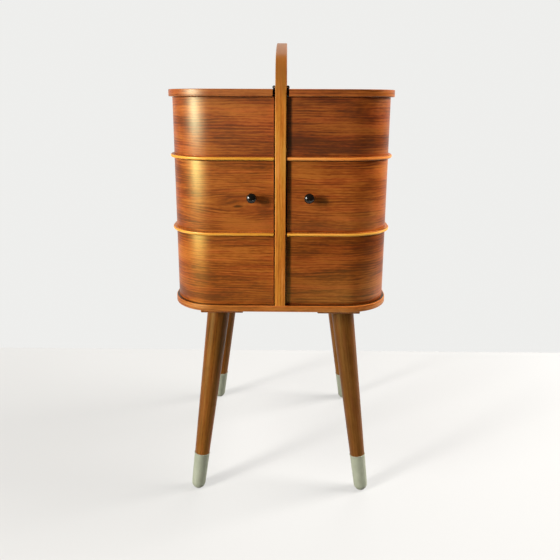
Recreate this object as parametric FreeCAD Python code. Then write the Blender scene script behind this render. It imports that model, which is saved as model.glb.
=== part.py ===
"""Sewing box on splayed legs: two lids, two swing-out drawers and a bentwood carrying hoop.

Millimetres. +Z is up and the front of the box faces -Y. The pieces are made about the middle of
the box, then moved back so that the origin is on the floor under the middle of its whole outline,
knobs included. Every left-hand piece is the mirror image of its right-hand one, which lies at +X.
"""
import FreeCAD, Part
import math
import os
from FreeCAD import Vector

# ---------------------------------------------------------------- driving sizes
BODY_WIDTH = 314.0            # over the bent plywood walls
BODY_DEPTH = 356.0
CORNER_RADIUS = 62.0          # outside corners of the walls, seen from above

BASE_HEIGHT = 314.5           # floor to the underside of the base board
BASE_THICKNESS = 9.5
BASE_LIP_SIDE = 3.8           # how far the base board stands out beyond the walls
BASE_LIP_FRONT = 6.0
BOTTOM_WALL_HEIGHT = 102.5
DRAWER_WALL_HEIGHT = 100.3
TOP_WALL_HEIGHT = 79.9
FLOOR_THICKNESS = 5.0         # floors of the trays and the drawers
FLOOR_LIP = 5.2               # how far those floors stand out beyond the walls
LID_THICKNESS = 10.0
LID_LIP = 5.4
EDGE_ROUND = 1.2              # on the edges of the base board and the lids
FLOOR_EDGE_ROUND = 2.1

WALL = 4.5                    # bent plywood
INNER_WALL = 6.0              # straight inner walls of the fixed compartments
DRAWER_INNER_WALL = 4.5
DIVIDER = 4.0
DIVIDER_DROP = 16.0           # a divider stops this far below the rim of its wall
TOP_DIVIDER_Y = 38.0          # centre of the divider in a top tray
DRAWER_DIVIDER_Y = -20.0

PANEL_THICKNESS = 15.0        # upright panel between the two halves
HALF_GAP = 2.0                # from the panel to the end of each wall and floor

HOOP_WIDTH = 15.0
HOOP_THICKNESS = 8.5
HOOP_PROUD = 5.5              # how far the hoop stands out in front of the walls
HOOP_RISE = 72.0              # from the lids' top, where the hoop starts to bend, to its crown
HOOP_SHOULDER_RADIUS = 50.0
HOOP_EDGE_ROUND = 1.5

CLEAT_THICKNESS = 12.0        # bars under the base board that hold the legs
CLEAT_WIDTH = 64.0
CLEAT_SIDE_INSET = 40.8       # from the base board's side edge
CLEAT_END_INSET = 27.0        # from its front and rear edges
CLEAT_EDGE_ROUND = 1.5

LEG_FROM_CLEAT_MIDDLE = 8.0   # leg axis at the underside of its cleat, outward
LEG_FROM_CLEAT_END = 39.8
LEG_SIDE_ANGLE = 6.9557       # lean of the axis in degrees, seen from the front
LEG_END_ANGLE = 6.9557        # and seen from the side
LEG_TOP_RADIUS = 17.5
LEG_FOOT_RADIUS = 10.5        # bare leg at the centre of the foot's round end
FOOT_CENTRE_HEIGHT = 9.4      # centre of the cap's round end above the floor
CAP_LENGTH = 50.5             # from that centre up the leg
CAP_WALL = 1.5
CAP_PROUD = 0.4
CAP_FLOOR = 6.0               # solid plastic between that centre and the leg's end
BOLT_RADIUS = 4.0
BOLT_IN_LEG = 42.0
INSERT_RADIUS = 6.5

PIVOT_INSET = 12.0            # pivot axis from the inner end and the rear of a drawer
PIVOT_RADIUS = 3.0
PIVOT_BLOCK_WIDTH = 18.0
PIVOT_BLOCK_DEPTH = 18.0
PIVOT_BLOCK_HEIGHT = 34.0
PIVOT_END = 6.0               # wood left beyond each end of the rod
LIP_START = 24.0              # the drawer floor's rear lip starts this far out from the pivot
LIP_START_ROUND = 3.0
WASHER_RADIUS = 7.0
WASHER_THICKNESS = 0.8

KNOB_FROM_CENTRE = 40.0
KNOB_RADIUS = 7.1
KNOB_LENGTH = 16.5
KNOB_EDGE_RADIUS = 4.2        # of the head's rounded rim
KNOB_DOME_ANGLE = 66.0        # the rim meets the domed face here, in degrees above its middle
KNOB_UNDER_ANGLE = 78.0       # and the neck here, below its middle
KNOB_WAIST_RADIUS = 3.4
KNOB_FOOT_RADIUS = 4.8

BARREL_RADIUS = 2.3           # piano hinge
HINGE_PIN_RADIUS = 1.0
LEAF = 1.5
LEAF_SPACE = 0.7              # between the two leaves when the lid is shut
LEAF_EDGE_MARGIN = 0.3        # leaf below the knuckles and above the lid's underside
BARREL_CLEAR = 0.1            # from the lid's top to the knuckles
HINGE_END_GAP = 3.0           # from the hoop to each end of the hinge
KNUCKLE_COUNT = 21
KNUCKLE_GAP = 0.3
HINGE_SCREW_COUNT = 6

STOP_LENGTH = 18.0            # felt strips that a closing drawer comes up against
STOP_END_GAP = 0.3            # from their ends to the tray above and the compartment below
STOP_FROM_FRONT = 26.0

# ---------------------------------------------------------------- clearances
DRAWER_GAP = 1.0              # above and below a drawer
LID_GAP = 0.3
RUNNING_FIT = 0.05            # radial, rod in a drawer and pin in a lid's knuckles
WOOD_FIT = 0.05               # radial, fastener in its hole
CAP_FIT = 0.1
STOP_GAP = 0.3

# ---------------------------------------------------------------- fasteners
# length, shank radius, head radius, head depth
CLEAT_SCREW = (18.0, 1.9, 3.8, 2.4)
HOOP_SCREW = (30.0, 1.6, 3.2, 2.0)
PANEL_SCREW = (38.0, 2.0, 4.0, 2.6)
INNER_WALL_SCREW = (12.0, 1.5, 3.0, 1.9)
KNOB_SCREW = (13.0, 1.7, 3.4, 1.6)
HINGE_SCREW = (6.5, 0.9, 1.8, 0.8)
CLEAT_SCREW_COUNT = 4         # along each cleat
CLEAT_SCREW_END = 14.0        # from the ends of the cleat
CLEAT_SCREW_EDGE = 7.0        # from its long edges
PANEL_SCREW_SPACING = 110.0
INNER_WALL_SCREW_SPACING = 120.0

# ---------------------------------------------------------------- worked-out places
UP = Vector(0, 0, 1)
TINY = 1e-6                   # two heights closer than this are the same
half_width = BODY_WIDTH / 2
half_depth = BODY_DEPTH / 2
half_panel = PANEL_THICKNESS / 2
inner_end = half_panel + HALF_GAP

base_bottom = BASE_HEIGHT
base_top = base_bottom + BASE_THICKNESS
bottom_rim = base_top + BOTTOM_WALL_HEIGHT
drawer_bottom = bottom_rim + DRAWER_GAP
drawer_floor_top = drawer_bottom + FLOOR_THICKNESS
drawer_rim = drawer_floor_top + DRAWER_WALL_HEIGHT
tray_bottom = drawer_rim + DRAWER_GAP
tray_floor_top = tray_bottom + FLOOR_THICKNESS
tray_rim = tray_floor_top + TOP_WALL_HEIGHT
lid_bottom = tray_rim + LID_GAP
lid_top = lid_bottom + LID_THICKNESS

hoop_outer_y = half_depth + HOOP_PROUD
hoop_inner_y = hoop_outer_y - HOOP_THICKNESS
cleat_bottom = base_bottom - CLEAT_THICKNESS
cleat_half_length = half_depth + BASE_LIP_FRONT - CLEAT_END_INSET
cleat_outer = half_width + BASE_LIP_SIDE - CLEAT_SIDE_INSET
cleat_middle = cleat_outer - CLEAT_WIDTH / 2

pivot_x = inner_end + PIVOT_INSET
pivot_y = half_depth - PIVOT_INSET
rod_bottom = bottom_rim - PIVOT_BLOCK_HEIGHT + PIVOT_END
rod_top = tray_floor_top + PIVOT_BLOCK_HEIGHT - PIVOT_END

hinge_x = half_panel + LEAF + LEAF_SPACE / 2
hinge_z = lid_top + BARREL_RADIUS + BARREL_CLEAR
lid_inner = half_panel + 2 * LEAF + LEAF_SPACE
leaf_bottom = lid_bottom + LEAF_EDGE_MARGIN
leaf_top = hinge_z - BARREL_RADIUS - LEAF_EDGE_MARGIN
hinge_half_length = hoop_inner_y - HINGE_END_GAP
origin_shift = Vector(0, (KNOB_LENGTH - BASE_LIP_FRONT) / 2, 0)

# ---------------------------------------------------------------- helpers


def line(x1, y1, x2, y2):
    return Part.LineSegment(Vector(x1, y1, 0), Vector(x2, y2, 0)).toShape()


def arc(cx, cy, radius, start_deg, end_deg):
    """Arc in the ground plane about (cx, cy), from one angle to the other."""
    points = []
    for angle in (start_deg, (start_deg + end_deg) / 2, end_deg):
        turn = math.radians(angle)
        points.append(Vector(cx + radius * math.cos(turn), cy + radius * math.sin(turn), 0))
    return Part.Arc(*points).toShape()


def prism(edges, bottom, top):
    """Solid between two heights over a closed outline."""
    face = Part.Face(Part.Wire(edges))
    face.translate(Vector(0, 0, bottom))
    return face.extrude(Vector(0, 0, top - bottom))


def box(x1, x2, y1, y2, z1, z2):
    return Part.makeBox(x2 - x1, y2 - y1, z2 - z1, Vector(x1, y1, z1))


def cylinder(x, y, bottom, top, radius):
    return Part.makeCylinder(radius, top - bottom, Vector(x, y, bottom))


def half_plan(inner, outer, half_length, radius, bottom, top):
    """Right half of the box's plan: square at its inner end, round at its two outer corners."""
    cx, cy = outer - radius, half_length - radius
    edges = [
        line(inner, -half_length, cx, -half_length),
        arc(cx, -cy, radius, -90, 0),
        line(outer, -cy, outer, cy),
        arc(cx, cy, radius, 0, 90),
        line(cx, half_length, inner, half_length),
        line(inner, half_length, inner, -half_length),
    ]
    return prism(edges, bottom, top)


def pivot_plan(grow, bottom, top):
    """Right drawer's plan grown outward by a distance; its rear inner corner is round about the pivot."""
    outer, half_length = half_width + grow, half_depth + grow
    radius, turn = CORNER_RADIUS + grow, PIVOT_INSET + grow
    inner = inner_end - grow
    cx, cy = outer - radius, half_length - radius
    edges = [
        line(inner, -half_length, cx, -half_length),
        arc(cx, -cy, radius, -90, 0),
        line(outer, -cy, outer, cy),
        arc(cx, cy, radius, 0, 90),
        line(cx, half_length, pivot_x, half_length),
        arc(pivot_x, pivot_y, turn, 90, 180),
        line(inner, pivot_y, inner, -half_length),
    ]
    return prism(edges, bottom, top)


def level_edges(shape, heights):
    """Edges that lie level at one of the heights."""
    found = []
    for edge in shape.Edges:
        bounds = edge.BoundBox
        if bounds.ZLength < TINY and any(abs(bounds.ZMin - height) < TINY for height in heights):
            found.append(edge)
    return found


def round_outside(half, inner, heights, radius):
    """Round a right half's level edges, except along its straight inner end."""
    edges = [edge for edge in level_edges(half, heights) if edge.BoundBox.XMax > inner + TINY]
    return half.makeFillet(radius, edges)


def between(shape, bottom, top):
    """The part of a shape that lies between two heights."""
    reach = 2 * (BODY_WIDTH + BODY_DEPTH)
    return shape.common(box(-reach, reach, -reach, reach, bottom, top))


def screw(head_point, direction, size, ease=0.0):
    """Countersunk screw driven along a direction; with ease it is the hole for that screw."""
    length, shank, head, depth = size
    cone = Part.makeCone(head + ease, shank + ease, depth, head_point, direction)
    shaft = Part.makeCylinder(shank + ease, length + ease, head_point, direction)
    return cone.fuse(shaft).removeSplitter()


def drilled(shape, cutters):
    return shape.cut(Part.makeCompound(cutters)) if cutters else shape


def mirrored(shape):
    return shape.mirror(Vector(0, 0, 0), Vector(1, 0, 0))


def spaced(count, margin, half_length):
    """Places along Y, evenly spaced, the outer ones a margin in from each end."""
    reach = half_length - margin
    return [-reach + 2 * reach * i / (count - 1) for i in range(count)]


def save(name, *solids):
    shape = solids[0].copy() if len(solids) == 1 else Part.makeCompound(list(solids))
    shape.translate(origin_shift)
    shape.exportStep("parts/" + name + ".step")


def save_pair(name, right):
    save(name + "_right", right)
    save(name + "_left", mirrored(right))


# ---------------------------------------------------------------- legs and base


def leg_axis_point(x_side, y_side, height):
    """Centre of a leg at a height; the sides are 1 or -1."""
    run = cleat_bottom - height
    x = cleat_middle + LEG_FROM_CLEAT_MIDDLE + run * math.tan(math.radians(LEG_SIDE_ANGLE))
    y = cleat_half_length - LEG_FROM_CLEAT_END + run * math.tan(math.radians(LEG_END_ANGLE))
    return Vector(x_side * x, y_side * y, height)


def leg_direction(x_side, y_side):
    """Unit vector up the leg."""
    rise = leg_axis_point(x_side, y_side, cleat_bottom) - leg_axis_point(x_side, y_side, 0)
    return rise.normalize()


def leg_length():
    foot = leg_axis_point(1, 1, FOOT_CENTRE_HEIGHT)
    return (leg_axis_point(1, 1, cleat_bottom) - foot).Length


def leg_radius(along):
    """Bare radius of the leg at a distance up its axis from the centre of the foot."""
    return LEG_FOOT_RADIUS + (LEG_TOP_RADIUS - LEG_FOOT_RADIUS) * along / leg_length()


def on_leg(shape, x_side, y_side):
    """Stand a piece made along +Z from the foot's centre on a leg's axis."""
    turn = FreeCAD.Rotation(UP, leg_direction(x_side, y_side))
    foot = leg_axis_point(x_side, y_side, FOOT_CENTRE_HEIGHT)
    placed = shape.copy()
    placed.Placement = FreeCAD.Placement(foot, turn)
    return placed


def turned(points):
    """Body of revolution about +Z from (radius, height) points that start and end on the axis."""
    corners = [Vector(radius, 0, height) for radius, height in points]
    face = Part.Face(Part.makePolygon(corners + corners[:1]))
    return face.revolve(Vector(0, 0, 0), UP, 360)


def make_leg(x_side, y_side):
    inside = CAP_WALL + CAP_FIT - CAP_PROUD
    over = leg_length() + LEG_TOP_RADIUS
    blank = turned([
        (0, CAP_FLOOR),
        (leg_radius(CAP_FLOOR) - inside, CAP_FLOOR),
        (leg_radius(CAP_LENGTH) - inside, CAP_LENGTH),
        (leg_radius(CAP_LENGTH), CAP_LENGTH),
        (leg_radius(over), over),
        (0, over),
    ])
    bolt_hole = Part.makeCylinder(BOLT_RADIUS + WOOD_FIT, over, Vector(0, 0, leg_length() - BOLT_IN_LEG))
    return between(on_leg(blank.cut(bolt_hole), x_side, y_side), 0, cleat_bottom)


def make_leg_cap(x_side, y_side):
    """Tapered plastic cap with a round end that is flat where it meets the floor."""
    ball = leg_radius(0) + CAP_PROUD
    wall = CAP_WALL + CAP_FIT - CAP_PROUD
    sleeve = turned([
        (0, 0),
        (ball, 0),
        (leg_radius(CAP_LENGTH) + CAP_PROUD, CAP_LENGTH),
        (0, CAP_LENGTH),
    ])
    hollow = turned([
        (0, CAP_FLOOR),
        (leg_radius(CAP_FLOOR) - wall + CAP_FIT, CAP_FLOOR),
        (leg_radius(CAP_LENGTH) - wall + CAP_FIT, CAP_LENGTH),
        (0, CAP_LENGTH),
    ])
    cap = sleeve.fuse(Part.makeSphere(ball)).cut(hollow).removeSplitter()
    return between(on_leg(cap, x_side, y_side), 0, base_bottom)


def make_leg_bolt(x_side, y_side):
    """Hanger bolt, screwed into the leg and its cleat."""
    start = leg_length() - BOLT_IN_LEG + WOOD_FIT
    length = BOLT_IN_LEG + CLEAT_THICKNESS - 2 * WOOD_FIT
    bolt = Part.makeCylinder(BOLT_RADIUS, length, Vector(0, 0, start))
    return between(on_leg(bolt, x_side, y_side), 0, base_bottom - WOOD_FIT)


def insert_blank(x_side, y_side, radius):
    """Cylinder on a leg's axis that runs past both faces of the cleat."""
    past = CLEAT_THICKNESS
    blank = Part.makeCylinder(radius, past + CLEAT_THICKNESS + past, Vector(0, 0, leg_length() - past))
    return on_leg(blank, x_side, y_side)


def make_leg_insert(x_side, y_side):
    """Threaded metal bush let into the cleat for the leg's bolt."""
    rod = insert_blank(x_side, y_side, INSERT_RADIUS)
    tube = rod.cut(insert_blank(x_side, y_side, BOLT_RADIUS + WOOD_FIT))
    return between(tube, cleat_bottom, base_bottom)


def cleat_screw_points():
    """Heads under the right cleat, down both of its long edges."""
    across = CLEAT_WIDTH / 2 - CLEAT_SCREW_EDGE
    places = spaced(CLEAT_SCREW_COUNT, CLEAT_SCREW_END, cleat_half_length)
    return [Vector(cleat_middle + side * across, y, cleat_bottom) for y in places for side in (-1, 1)]


def make_cleat():
    blank = box(cleat_outer - CLEAT_WIDTH, cleat_outer, -cleat_half_length, cleat_half_length,
                cleat_bottom, base_bottom)
    lower = [edge for edge in blank.Edges
             if edge.BoundBox.ZMax < base_bottom - TINY or edge.BoundBox.ZLength > TINY]
    cutters = [insert_blank(1, side, INSERT_RADIUS + WOOD_FIT) for side in (-1, 1)]
    cutters += [screw(point, UP, CLEAT_SCREW, WOOD_FIT) for point in cleat_screw_points()]
    return drilled(blank.makeFillet(CLEAT_EDGE_ROUND, lower), cutters)


def base_screws():
    """Head point, direction and size of each screw up into the hoop's feet, then into the panel."""
    hoop_y = (hoop_outer_y + hoop_inner_y) / 2
    hoop = [(Vector(0, side * hoop_y, base_bottom), UP, HOOP_SCREW) for side in (-1, 1)]
    panel = [(Vector(0, k * PANEL_SCREW_SPACING, base_bottom), UP, PANEL_SCREW) for k in (-1, 0, 1)]
    return hoop, panel


def make_base_board():
    side, front = half_width + BASE_LIP_SIDE, half_depth + BASE_LIP_FRONT
    radius = CORNER_RADIUS + BASE_LIP_SIDE
    right = half_plan(0, side, front, radius, base_bottom, base_top)
    board = right.fuse(mirrored(right)).removeSplitter()
    board = board.makeFillet(EDGE_ROUND, level_edges(board, (base_bottom, base_top)))
    hoop, panel = base_screws()
    cutters = [screw(point, way, size, WOOD_FIT) for point, way, size in hoop + panel]
    for point in cleat_screw_points():
        hole = screw(point, UP, CLEAT_SCREW, WOOD_FIT)
        cutters += [hole, mirrored(hole)]
    return drilled(board, cutters)


# ---------------------------------------------------------------- panel and hoop


def hoop_outline(inset):
    """Side view of the hoop's outer face, moved in by a distance: legs, shoulders and a flat arch."""
    reach, shoulder = hoop_outer_y - inset, HOOP_SHOULDER_RADIUS - inset
    rise = HOOP_RISE - inset
    crown = (reach ** 2 + rise ** 2 - 2 * reach * shoulder) / (2 * (rise - shoulder))
    top = lid_top + rise
    shoulder_y = reach - shoulder
    lean = math.atan2(shoulder_y, lid_top - (top - crown))

    def on_shoulder(side, turn):
        y = shoulder_y + shoulder * math.sin(turn)
        return Vector(0, side * y, lid_top + shoulder * math.cos(turn))

    middle = (math.pi / 2 + lean) / 2
    apex = Vector(0, 0, top)
    points = []
    for side in (-1, 1):
        points.append((Vector(0, side * reach, base_top), on_shoulder(side, math.pi / 2),
                       on_shoulder(side, middle), on_shoulder(side, lean)))
    front, rear = points
    return [
        Part.LineSegment(front[0], front[1]).toShape(),
        Part.Arc(front[1], front[2], front[3]).toShape(),
        Part.Arc(front[3], apex, rear[3]).toShape(),
        Part.Arc(rear[3], rear[2], rear[1]).toShape(),
        Part.LineSegment(rear[1], rear[0]).toShape(),
    ]


def make_hoop():
    """One laminated strip, bent over the box from the front of the base board to its rear."""
    outer, inner = hoop_outline(0), hoop_outline(HOOP_THICKNESS)
    feet = []
    for side in (-1, 1):
        feet.append(Part.LineSegment(Vector(0, side * hoop_outer_y, base_top),
                                     Vector(0, side * hoop_inner_y, base_top)).toShape())
    face = Part.Face(Part.Wire(Part.__sortEdges__(outer + inner + feet)))
    face.translate(Vector(-HOOP_WIDTH / 2, 0, 0))
    hoop = face.extrude(Vector(HOOP_WIDTH, 0, 0))
    long_edges = [edge for edge in hoop.Edges
                  if edge.BoundBox.XLength < TINY and edge.BoundBox.ZMax > base_top + TINY]
    screws = base_screws()[0]
    return drilled(hoop.makeFillet(HOOP_EDGE_ROUND, long_edges),
                   [screw(point, way, size, WOOD_FIT) for point, way, size in screws])


def inner_wall_screw_points(bottom, top):
    """Heads on the compartment side of a fixed right inner wall, at mid height."""
    x = half_panel + INNER_WALL
    return [Vector(x, k * INNER_WALL_SCREW_SPACING, (bottom + top) / 2) for k in (-1, 0, 1)]


def fixed_inner_wall_screws():
    points = inner_wall_screw_points(base_top, bottom_rim)
    points += inner_wall_screw_points(tray_floor_top, tray_rim)
    return [(point, Vector(-1, 0, 0), INNER_WALL_SCREW) for point in points]


def hinge_screws(x, direction):
    """Screws down the middle of a hinge leaf whose open face lies at x."""
    z = (leaf_bottom + leaf_top) / 2
    margin = hinge_half_length / HINGE_SCREW_COUNT
    places = spaced(HINGE_SCREW_COUNT, margin, hinge_half_length)
    return [(Vector(x, y, z), direction, HINGE_SCREW) for y in places]


def both_sides(screws, ease=0.0):
    """Screws, or their holes, for the right side and mirrored for the left."""
    right = [screw(point, way, size, ease) for point, way, size in screws]
    return right + [mirrored(one) for one in right]


def make_panel():
    panel = box(-half_panel, half_panel, -hoop_inner_y, hoop_inner_y, base_top, lid_top)
    cutters = [screw(point, way, size, WOOD_FIT) for point, way, size in base_screws()[1]]
    cutters += both_sides(fixed_inner_wall_screws(), WOOD_FIT)
    cutters += both_sides(fixed_leaf_screws(), WOOD_FIT)
    return drilled(panel, cutters)


# ---------------------------------------------------------------- fixed compartments


def make_fixed_wall(bottom, top):
    """Bent plywood wall round three sides of a fixed compartment."""
    outer = half_plan(inner_end, half_width, half_depth, CORNER_RADIUS, bottom, top)
    hollow = half_plan(0, half_width - WALL, half_depth - WALL, CORNER_RADIUS - WALL, bottom, top)
    return outer.cut(hollow)


def make_fixed_inner_wall(bottom, top):
    """Straight inner wall that carries the compartment on the panel."""
    x1, x2 = half_panel, half_panel + INNER_WALL
    wall = box(x1, x2, -half_depth + WALL, half_depth - WALL, bottom, top)
    holes = [screw(point, Vector(-1, 0, 0), INNER_WALL_SCREW, WOOD_FIT)
             for point in inner_wall_screw_points(bottom, top)]
    return drilled(wall, holes)


def make_tray_floor():
    """Floor of a top tray; between the front and rear walls it runs on to the panel."""
    floor = half_plan(inner_end, half_width + FLOOR_LIP, half_depth + FLOOR_LIP,
                      CORNER_RADIUS + FLOOR_LIP, tray_bottom, tray_floor_top)
    floor = round_outside(floor, inner_end, (tray_bottom, tray_floor_top), FLOOR_EDGE_ROUND)
    tongue = box(half_panel, inner_end, -half_depth + WALL, half_depth - WALL, tray_bottom, tray_floor_top)
    floor = floor.fuse(tongue).removeSplitter()
    return floor.cut(cylinder(pivot_x, pivot_y, tray_bottom, tray_floor_top, PIVOT_RADIUS + WOOD_FIT))


def make_divider(inner_face, y, floor_top, rim):
    return box(inner_face, half_width - WALL, y - DIVIDER / 2, y + DIVIDER / 2,
               floor_top, rim - DIVIDER_DROP)


# ---------------------------------------------------------------- drawer pivots


def make_fixed_pivot_block(bottom, top):
    """Block in a fixed compartment's rear inner corner that holds one end of the rod."""
    x1, y2 = half_panel + INNER_WALL, half_depth - WALL
    block = box(x1, x1 + PIVOT_BLOCK_WIDTH, y2 - PIVOT_BLOCK_DEPTH, y2, bottom, top)
    return block.cut(cylinder(pivot_x, pivot_y, rod_bottom, rod_top, PIVOT_RADIUS + WOOD_FIT))


def make_drawer_pivot_block():
    """Post in the drawer's rear inner corner that turns on the rod."""
    x1, y2 = inner_end + DRAWER_INNER_WALL, half_depth - WALL
    post = box(x1, x1 + PIVOT_BLOCK_WIDTH, y2 - PIVOT_BLOCK_DEPTH, y2, drawer_floor_top, drawer_rim)
    post = post.common(pivot_plan(-WALL, drawer_floor_top, drawer_rim))
    return post.cut(cylinder(pivot_x, pivot_y, drawer_floor_top, drawer_rim, PIVOT_RADIUS + RUNNING_FIT))


def make_rod():
    return cylinder(pivot_x, pivot_y, rod_bottom, rod_top, PIVOT_RADIUS)


def make_washer(bottom):
    top = bottom + WASHER_THICKNESS
    bore = cylinder(pivot_x, pivot_y, bottom, top, PIVOT_RADIUS + RUNNING_FIT)
    return cylinder(pivot_x, pivot_y, bottom, top, WASHER_RADIUS).cut(bore)


def make_drawer_stop():
    """Felt strip on the panel, near the front; it also closes the gap beside the panel."""
    y = -half_depth + STOP_FROM_FRONT
    return box(half_panel, inner_end - STOP_GAP, y, y + STOP_LENGTH,
               bottom_rim + STOP_END_GAP, tray_bottom - STOP_END_GAP)


# ---------------------------------------------------------------- drawers


def make_drawer_wall():
    """Bent plywood wall that also turns round the pivot corner."""
    ring = pivot_plan(0, drawer_floor_top, drawer_rim).cut(pivot_plan(-WALL, drawer_floor_top, drawer_rim))
    return ring.cut(inner_wall_box(0)).cut(knob_hole())


def inner_wall_box(start):
    """Block from a place near the middle out to the compartment side of a drawer's inner wall."""
    return box(start, inner_end + DRAWER_INNER_WALL, -half_depth + WALL, pivot_y,
               drawer_floor_top, drawer_rim)


def make_drawer_inner_wall():
    return inner_wall_box(inner_end)


def make_drawer_floor():
    """Floor with a lip all round, left off near the pivot so that it can swing past the hoop."""
    wide = half_plan(inner_end, half_width + FLOOR_LIP, half_depth + FLOOR_LIP,
                     CORNER_RADIUS + FLOOR_LIP, drawer_bottom, drawer_floor_top)
    lip_end, levels = pivot_x + LIP_START, (drawer_bottom, drawer_floor_top)
    past_lip = half_depth + 2 * FLOOR_LIP
    wide = wide.cut(box(0, lip_end, half_depth, past_lip, drawer_bottom, drawer_floor_top))
    corner = [edge for edge in wide.Edges
              if edge.BoundBox.ZLength > TINY and edge.BoundBox.YMax > half_depth + TINY
              and abs(edge.BoundBox.XMax - lip_end) < TINY]
    wide = wide.makeFillet(LIP_START_ROUND, corner)
    rounded = [edge for edge in level_edges(wide, levels)
               if edge.BoundBox.XMax > inner_end + TINY and abs(edge.BoundBox.Center.y - half_depth) > TINY]
    wide = wide.makeFillet(FLOOR_EDGE_ROUND, rounded)
    square = box(0, pivot_x, pivot_y, half_depth + FLOOR_LIP, drawer_bottom, drawer_floor_top)
    turn = cylinder(pivot_x, pivot_y, drawer_bottom, drawer_floor_top, PIVOT_INSET)
    bore = cylinder(pivot_x, pivot_y, drawer_bottom, drawer_floor_top, PIVOT_RADIUS + RUNNING_FIT)
    return wide.cut(square.cut(turn)).cut(bore)


def knob_screw_head():
    return Vector(KNOB_FROM_CENTRE, -half_depth + WALL, (drawer_floor_top + drawer_rim) / 2)


def knob_hole():
    return screw(knob_screw_head(), Vector(0, -1, 0), KNOB_SCREW, WOOD_FIT)


def make_knob():
    """Turned knob: a small foot, a hollow neck and a round head with a gently domed face."""
    inset = KNOB_RADIUS - KNOB_EDGE_RADIUS
    dome, under = math.radians(KNOB_DOME_ANGLE), math.radians(-KNOB_UNDER_ANGLE)
    dome_radius = KNOB_EDGE_RADIUS + inset / math.cos(dome)
    dome_centre = KNOB_LENGTH - dome_radius
    middle = dome_centre + inset * math.tan(dome)

    def on_rim(turn):
        radius = inset + KNOB_EDGE_RADIUS * math.cos(turn)
        return Vector(radius, 0, middle + KNOB_EDGE_RADIUS * math.sin(turn))

    half_dome = (math.pi / 2 + dome) / 2
    on_dome = Vector(dome_radius * math.cos(half_dome), 0, dome_centre + dome_radius * math.sin(half_dome))
    foot = Vector(KNOB_FOOT_RADIUS, 0, 0)
    waist = Vector(KNOB_WAIST_RADIUS, 0, on_rim(under).z / 2)
    tip = Vector(0, 0, KNOB_LENGTH)
    edges = [
        Part.LineSegment(Vector(0, 0, 0), foot).toShape(),
        Part.Arc(foot, waist, on_rim(under)).toShape(),
        Part.Arc(on_rim(under), on_rim(0), on_rim(dome)).toShape(),
        Part.Arc(on_rim(dome), on_dome, tip).toShape(),
        Part.LineSegment(tip, Vector(0, 0, 0)).toShape(),
    ]
    knob = Part.Face(Part.Wire(edges)).revolve(Vector(0, 0, 0), UP, 360)
    knob.Placement = FreeCAD.Placement(knob_screw_head() + Vector(0, -WALL, 0),
                                       FreeCAD.Rotation(UP, Vector(0, -1, 0)))
    return knob.cut(knob_hole())


# ---------------------------------------------------------------- lids and hinges


def fixed_leaf_screws():
    return hinge_screws(half_panel + LEAF, Vector(-1, 0, 0))


def lid_leaf_screws():
    return hinge_screws(lid_inner - LEAF, Vector(1, 0, 0))


def make_lid():
    lid = half_plan(lid_inner, half_width + LID_LIP, half_depth + LID_LIP,
                    CORNER_RADIUS + LID_LIP, lid_bottom, lid_top)
    lid = round_outside(lid, lid_inner, (lid_bottom, lid_top), EDGE_ROUND)
    return drilled(lid, [screw(point, way, size, WOOD_FIT) for point, way, size in lid_leaf_screws()])


def hinge_cylinder(start, length, radius):
    return Part.makeCylinder(radius, length, Vector(hinge_x, start, hinge_z), Vector(0, 1, 0))


def make_leaf(x, screws, first):
    """Hinge leaf with every second knuckle, starting from the given one."""
    leaf = box(x, x + LEAF, -hinge_half_length, hinge_half_length, leaf_bottom, leaf_top)
    pitch = 2 * hinge_half_length / KNUCKLE_COUNT
    length = pitch - KNUCKLE_GAP
    pieces = []
    for k in range(first, KNUCKLE_COUNT, 2):
        start = -hinge_half_length + k * pitch + KNUCKLE_GAP / 2
        pieces.append(box(x, x + LEAF, start, start + length, leaf_top - LEAF, hinge_z))
        pieces.append(hinge_cylinder(start, length, BARREL_RADIUS))
    leaf = leaf.multiFuse(pieces).removeSplitter()
    bore = hinge_cylinder(-hinge_half_length, 2 * hinge_half_length, HINGE_PIN_RADIUS + RUNNING_FIT)
    holes = [screw(point, way, size, WOOD_FIT) for point, way, size in screws]
    return drilled(leaf.cut(bore), holes)


def make_hinge_pin():
    return hinge_cylinder(-hinge_half_length, 2 * hinge_half_length, HINGE_PIN_RADIUS)


# ---------------------------------------------------------------- the pieces

os.makedirs("parts", exist_ok=True)

LEG_PLACES = [("front_left", -1, -1), ("front_right", 1, -1), ("rear_left", -1, 1), ("rear_right", 1, 1)]
for place, x_side, y_side in LEG_PLACES:
    save("leg_" + place, make_leg(x_side, y_side))
    save("leg_cap_" + place, make_leg_cap(x_side, y_side))
save("leg_bolts", *[make_leg_bolt(x_side, y_side) for place, x_side, y_side in LEG_PLACES])
save("leg_inserts", *[make_leg_insert(x_side, y_side) for place, x_side, y_side in LEG_PLACES])

save_pair("leg_cleat", make_cleat())
save("cleat_screws", *both_sides([(point, UP, CLEAT_SCREW) for point in cleat_screw_points()]))
save("base_board", make_base_board())
hoop_screws, panel_screws = base_screws()
save("hoop_screws", *[screw(point, way, size) for point, way, size in hoop_screws])
save("panel_screws", *[screw(point, way, size) for point, way, size in panel_screws])
save("centre_panel", make_panel())
save("handle_hoop", make_hoop())

save_pair("bottom_wall", make_fixed_wall(base_top, bottom_rim))
save_pair("bottom_inner_wall", make_fixed_inner_wall(base_top, bottom_rim))
save_pair("tray_floor", make_tray_floor())
save_pair("tray_wall", make_fixed_wall(tray_floor_top, tray_rim))
save_pair("tray_inner_wall", make_fixed_inner_wall(tray_floor_top, tray_rim))
save_pair("tray_divider", make_divider(half_panel + INNER_WALL, TOP_DIVIDER_Y, tray_floor_top, tray_rim))
save("inner_wall_screws", *both_sides(fixed_inner_wall_screws()))

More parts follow.
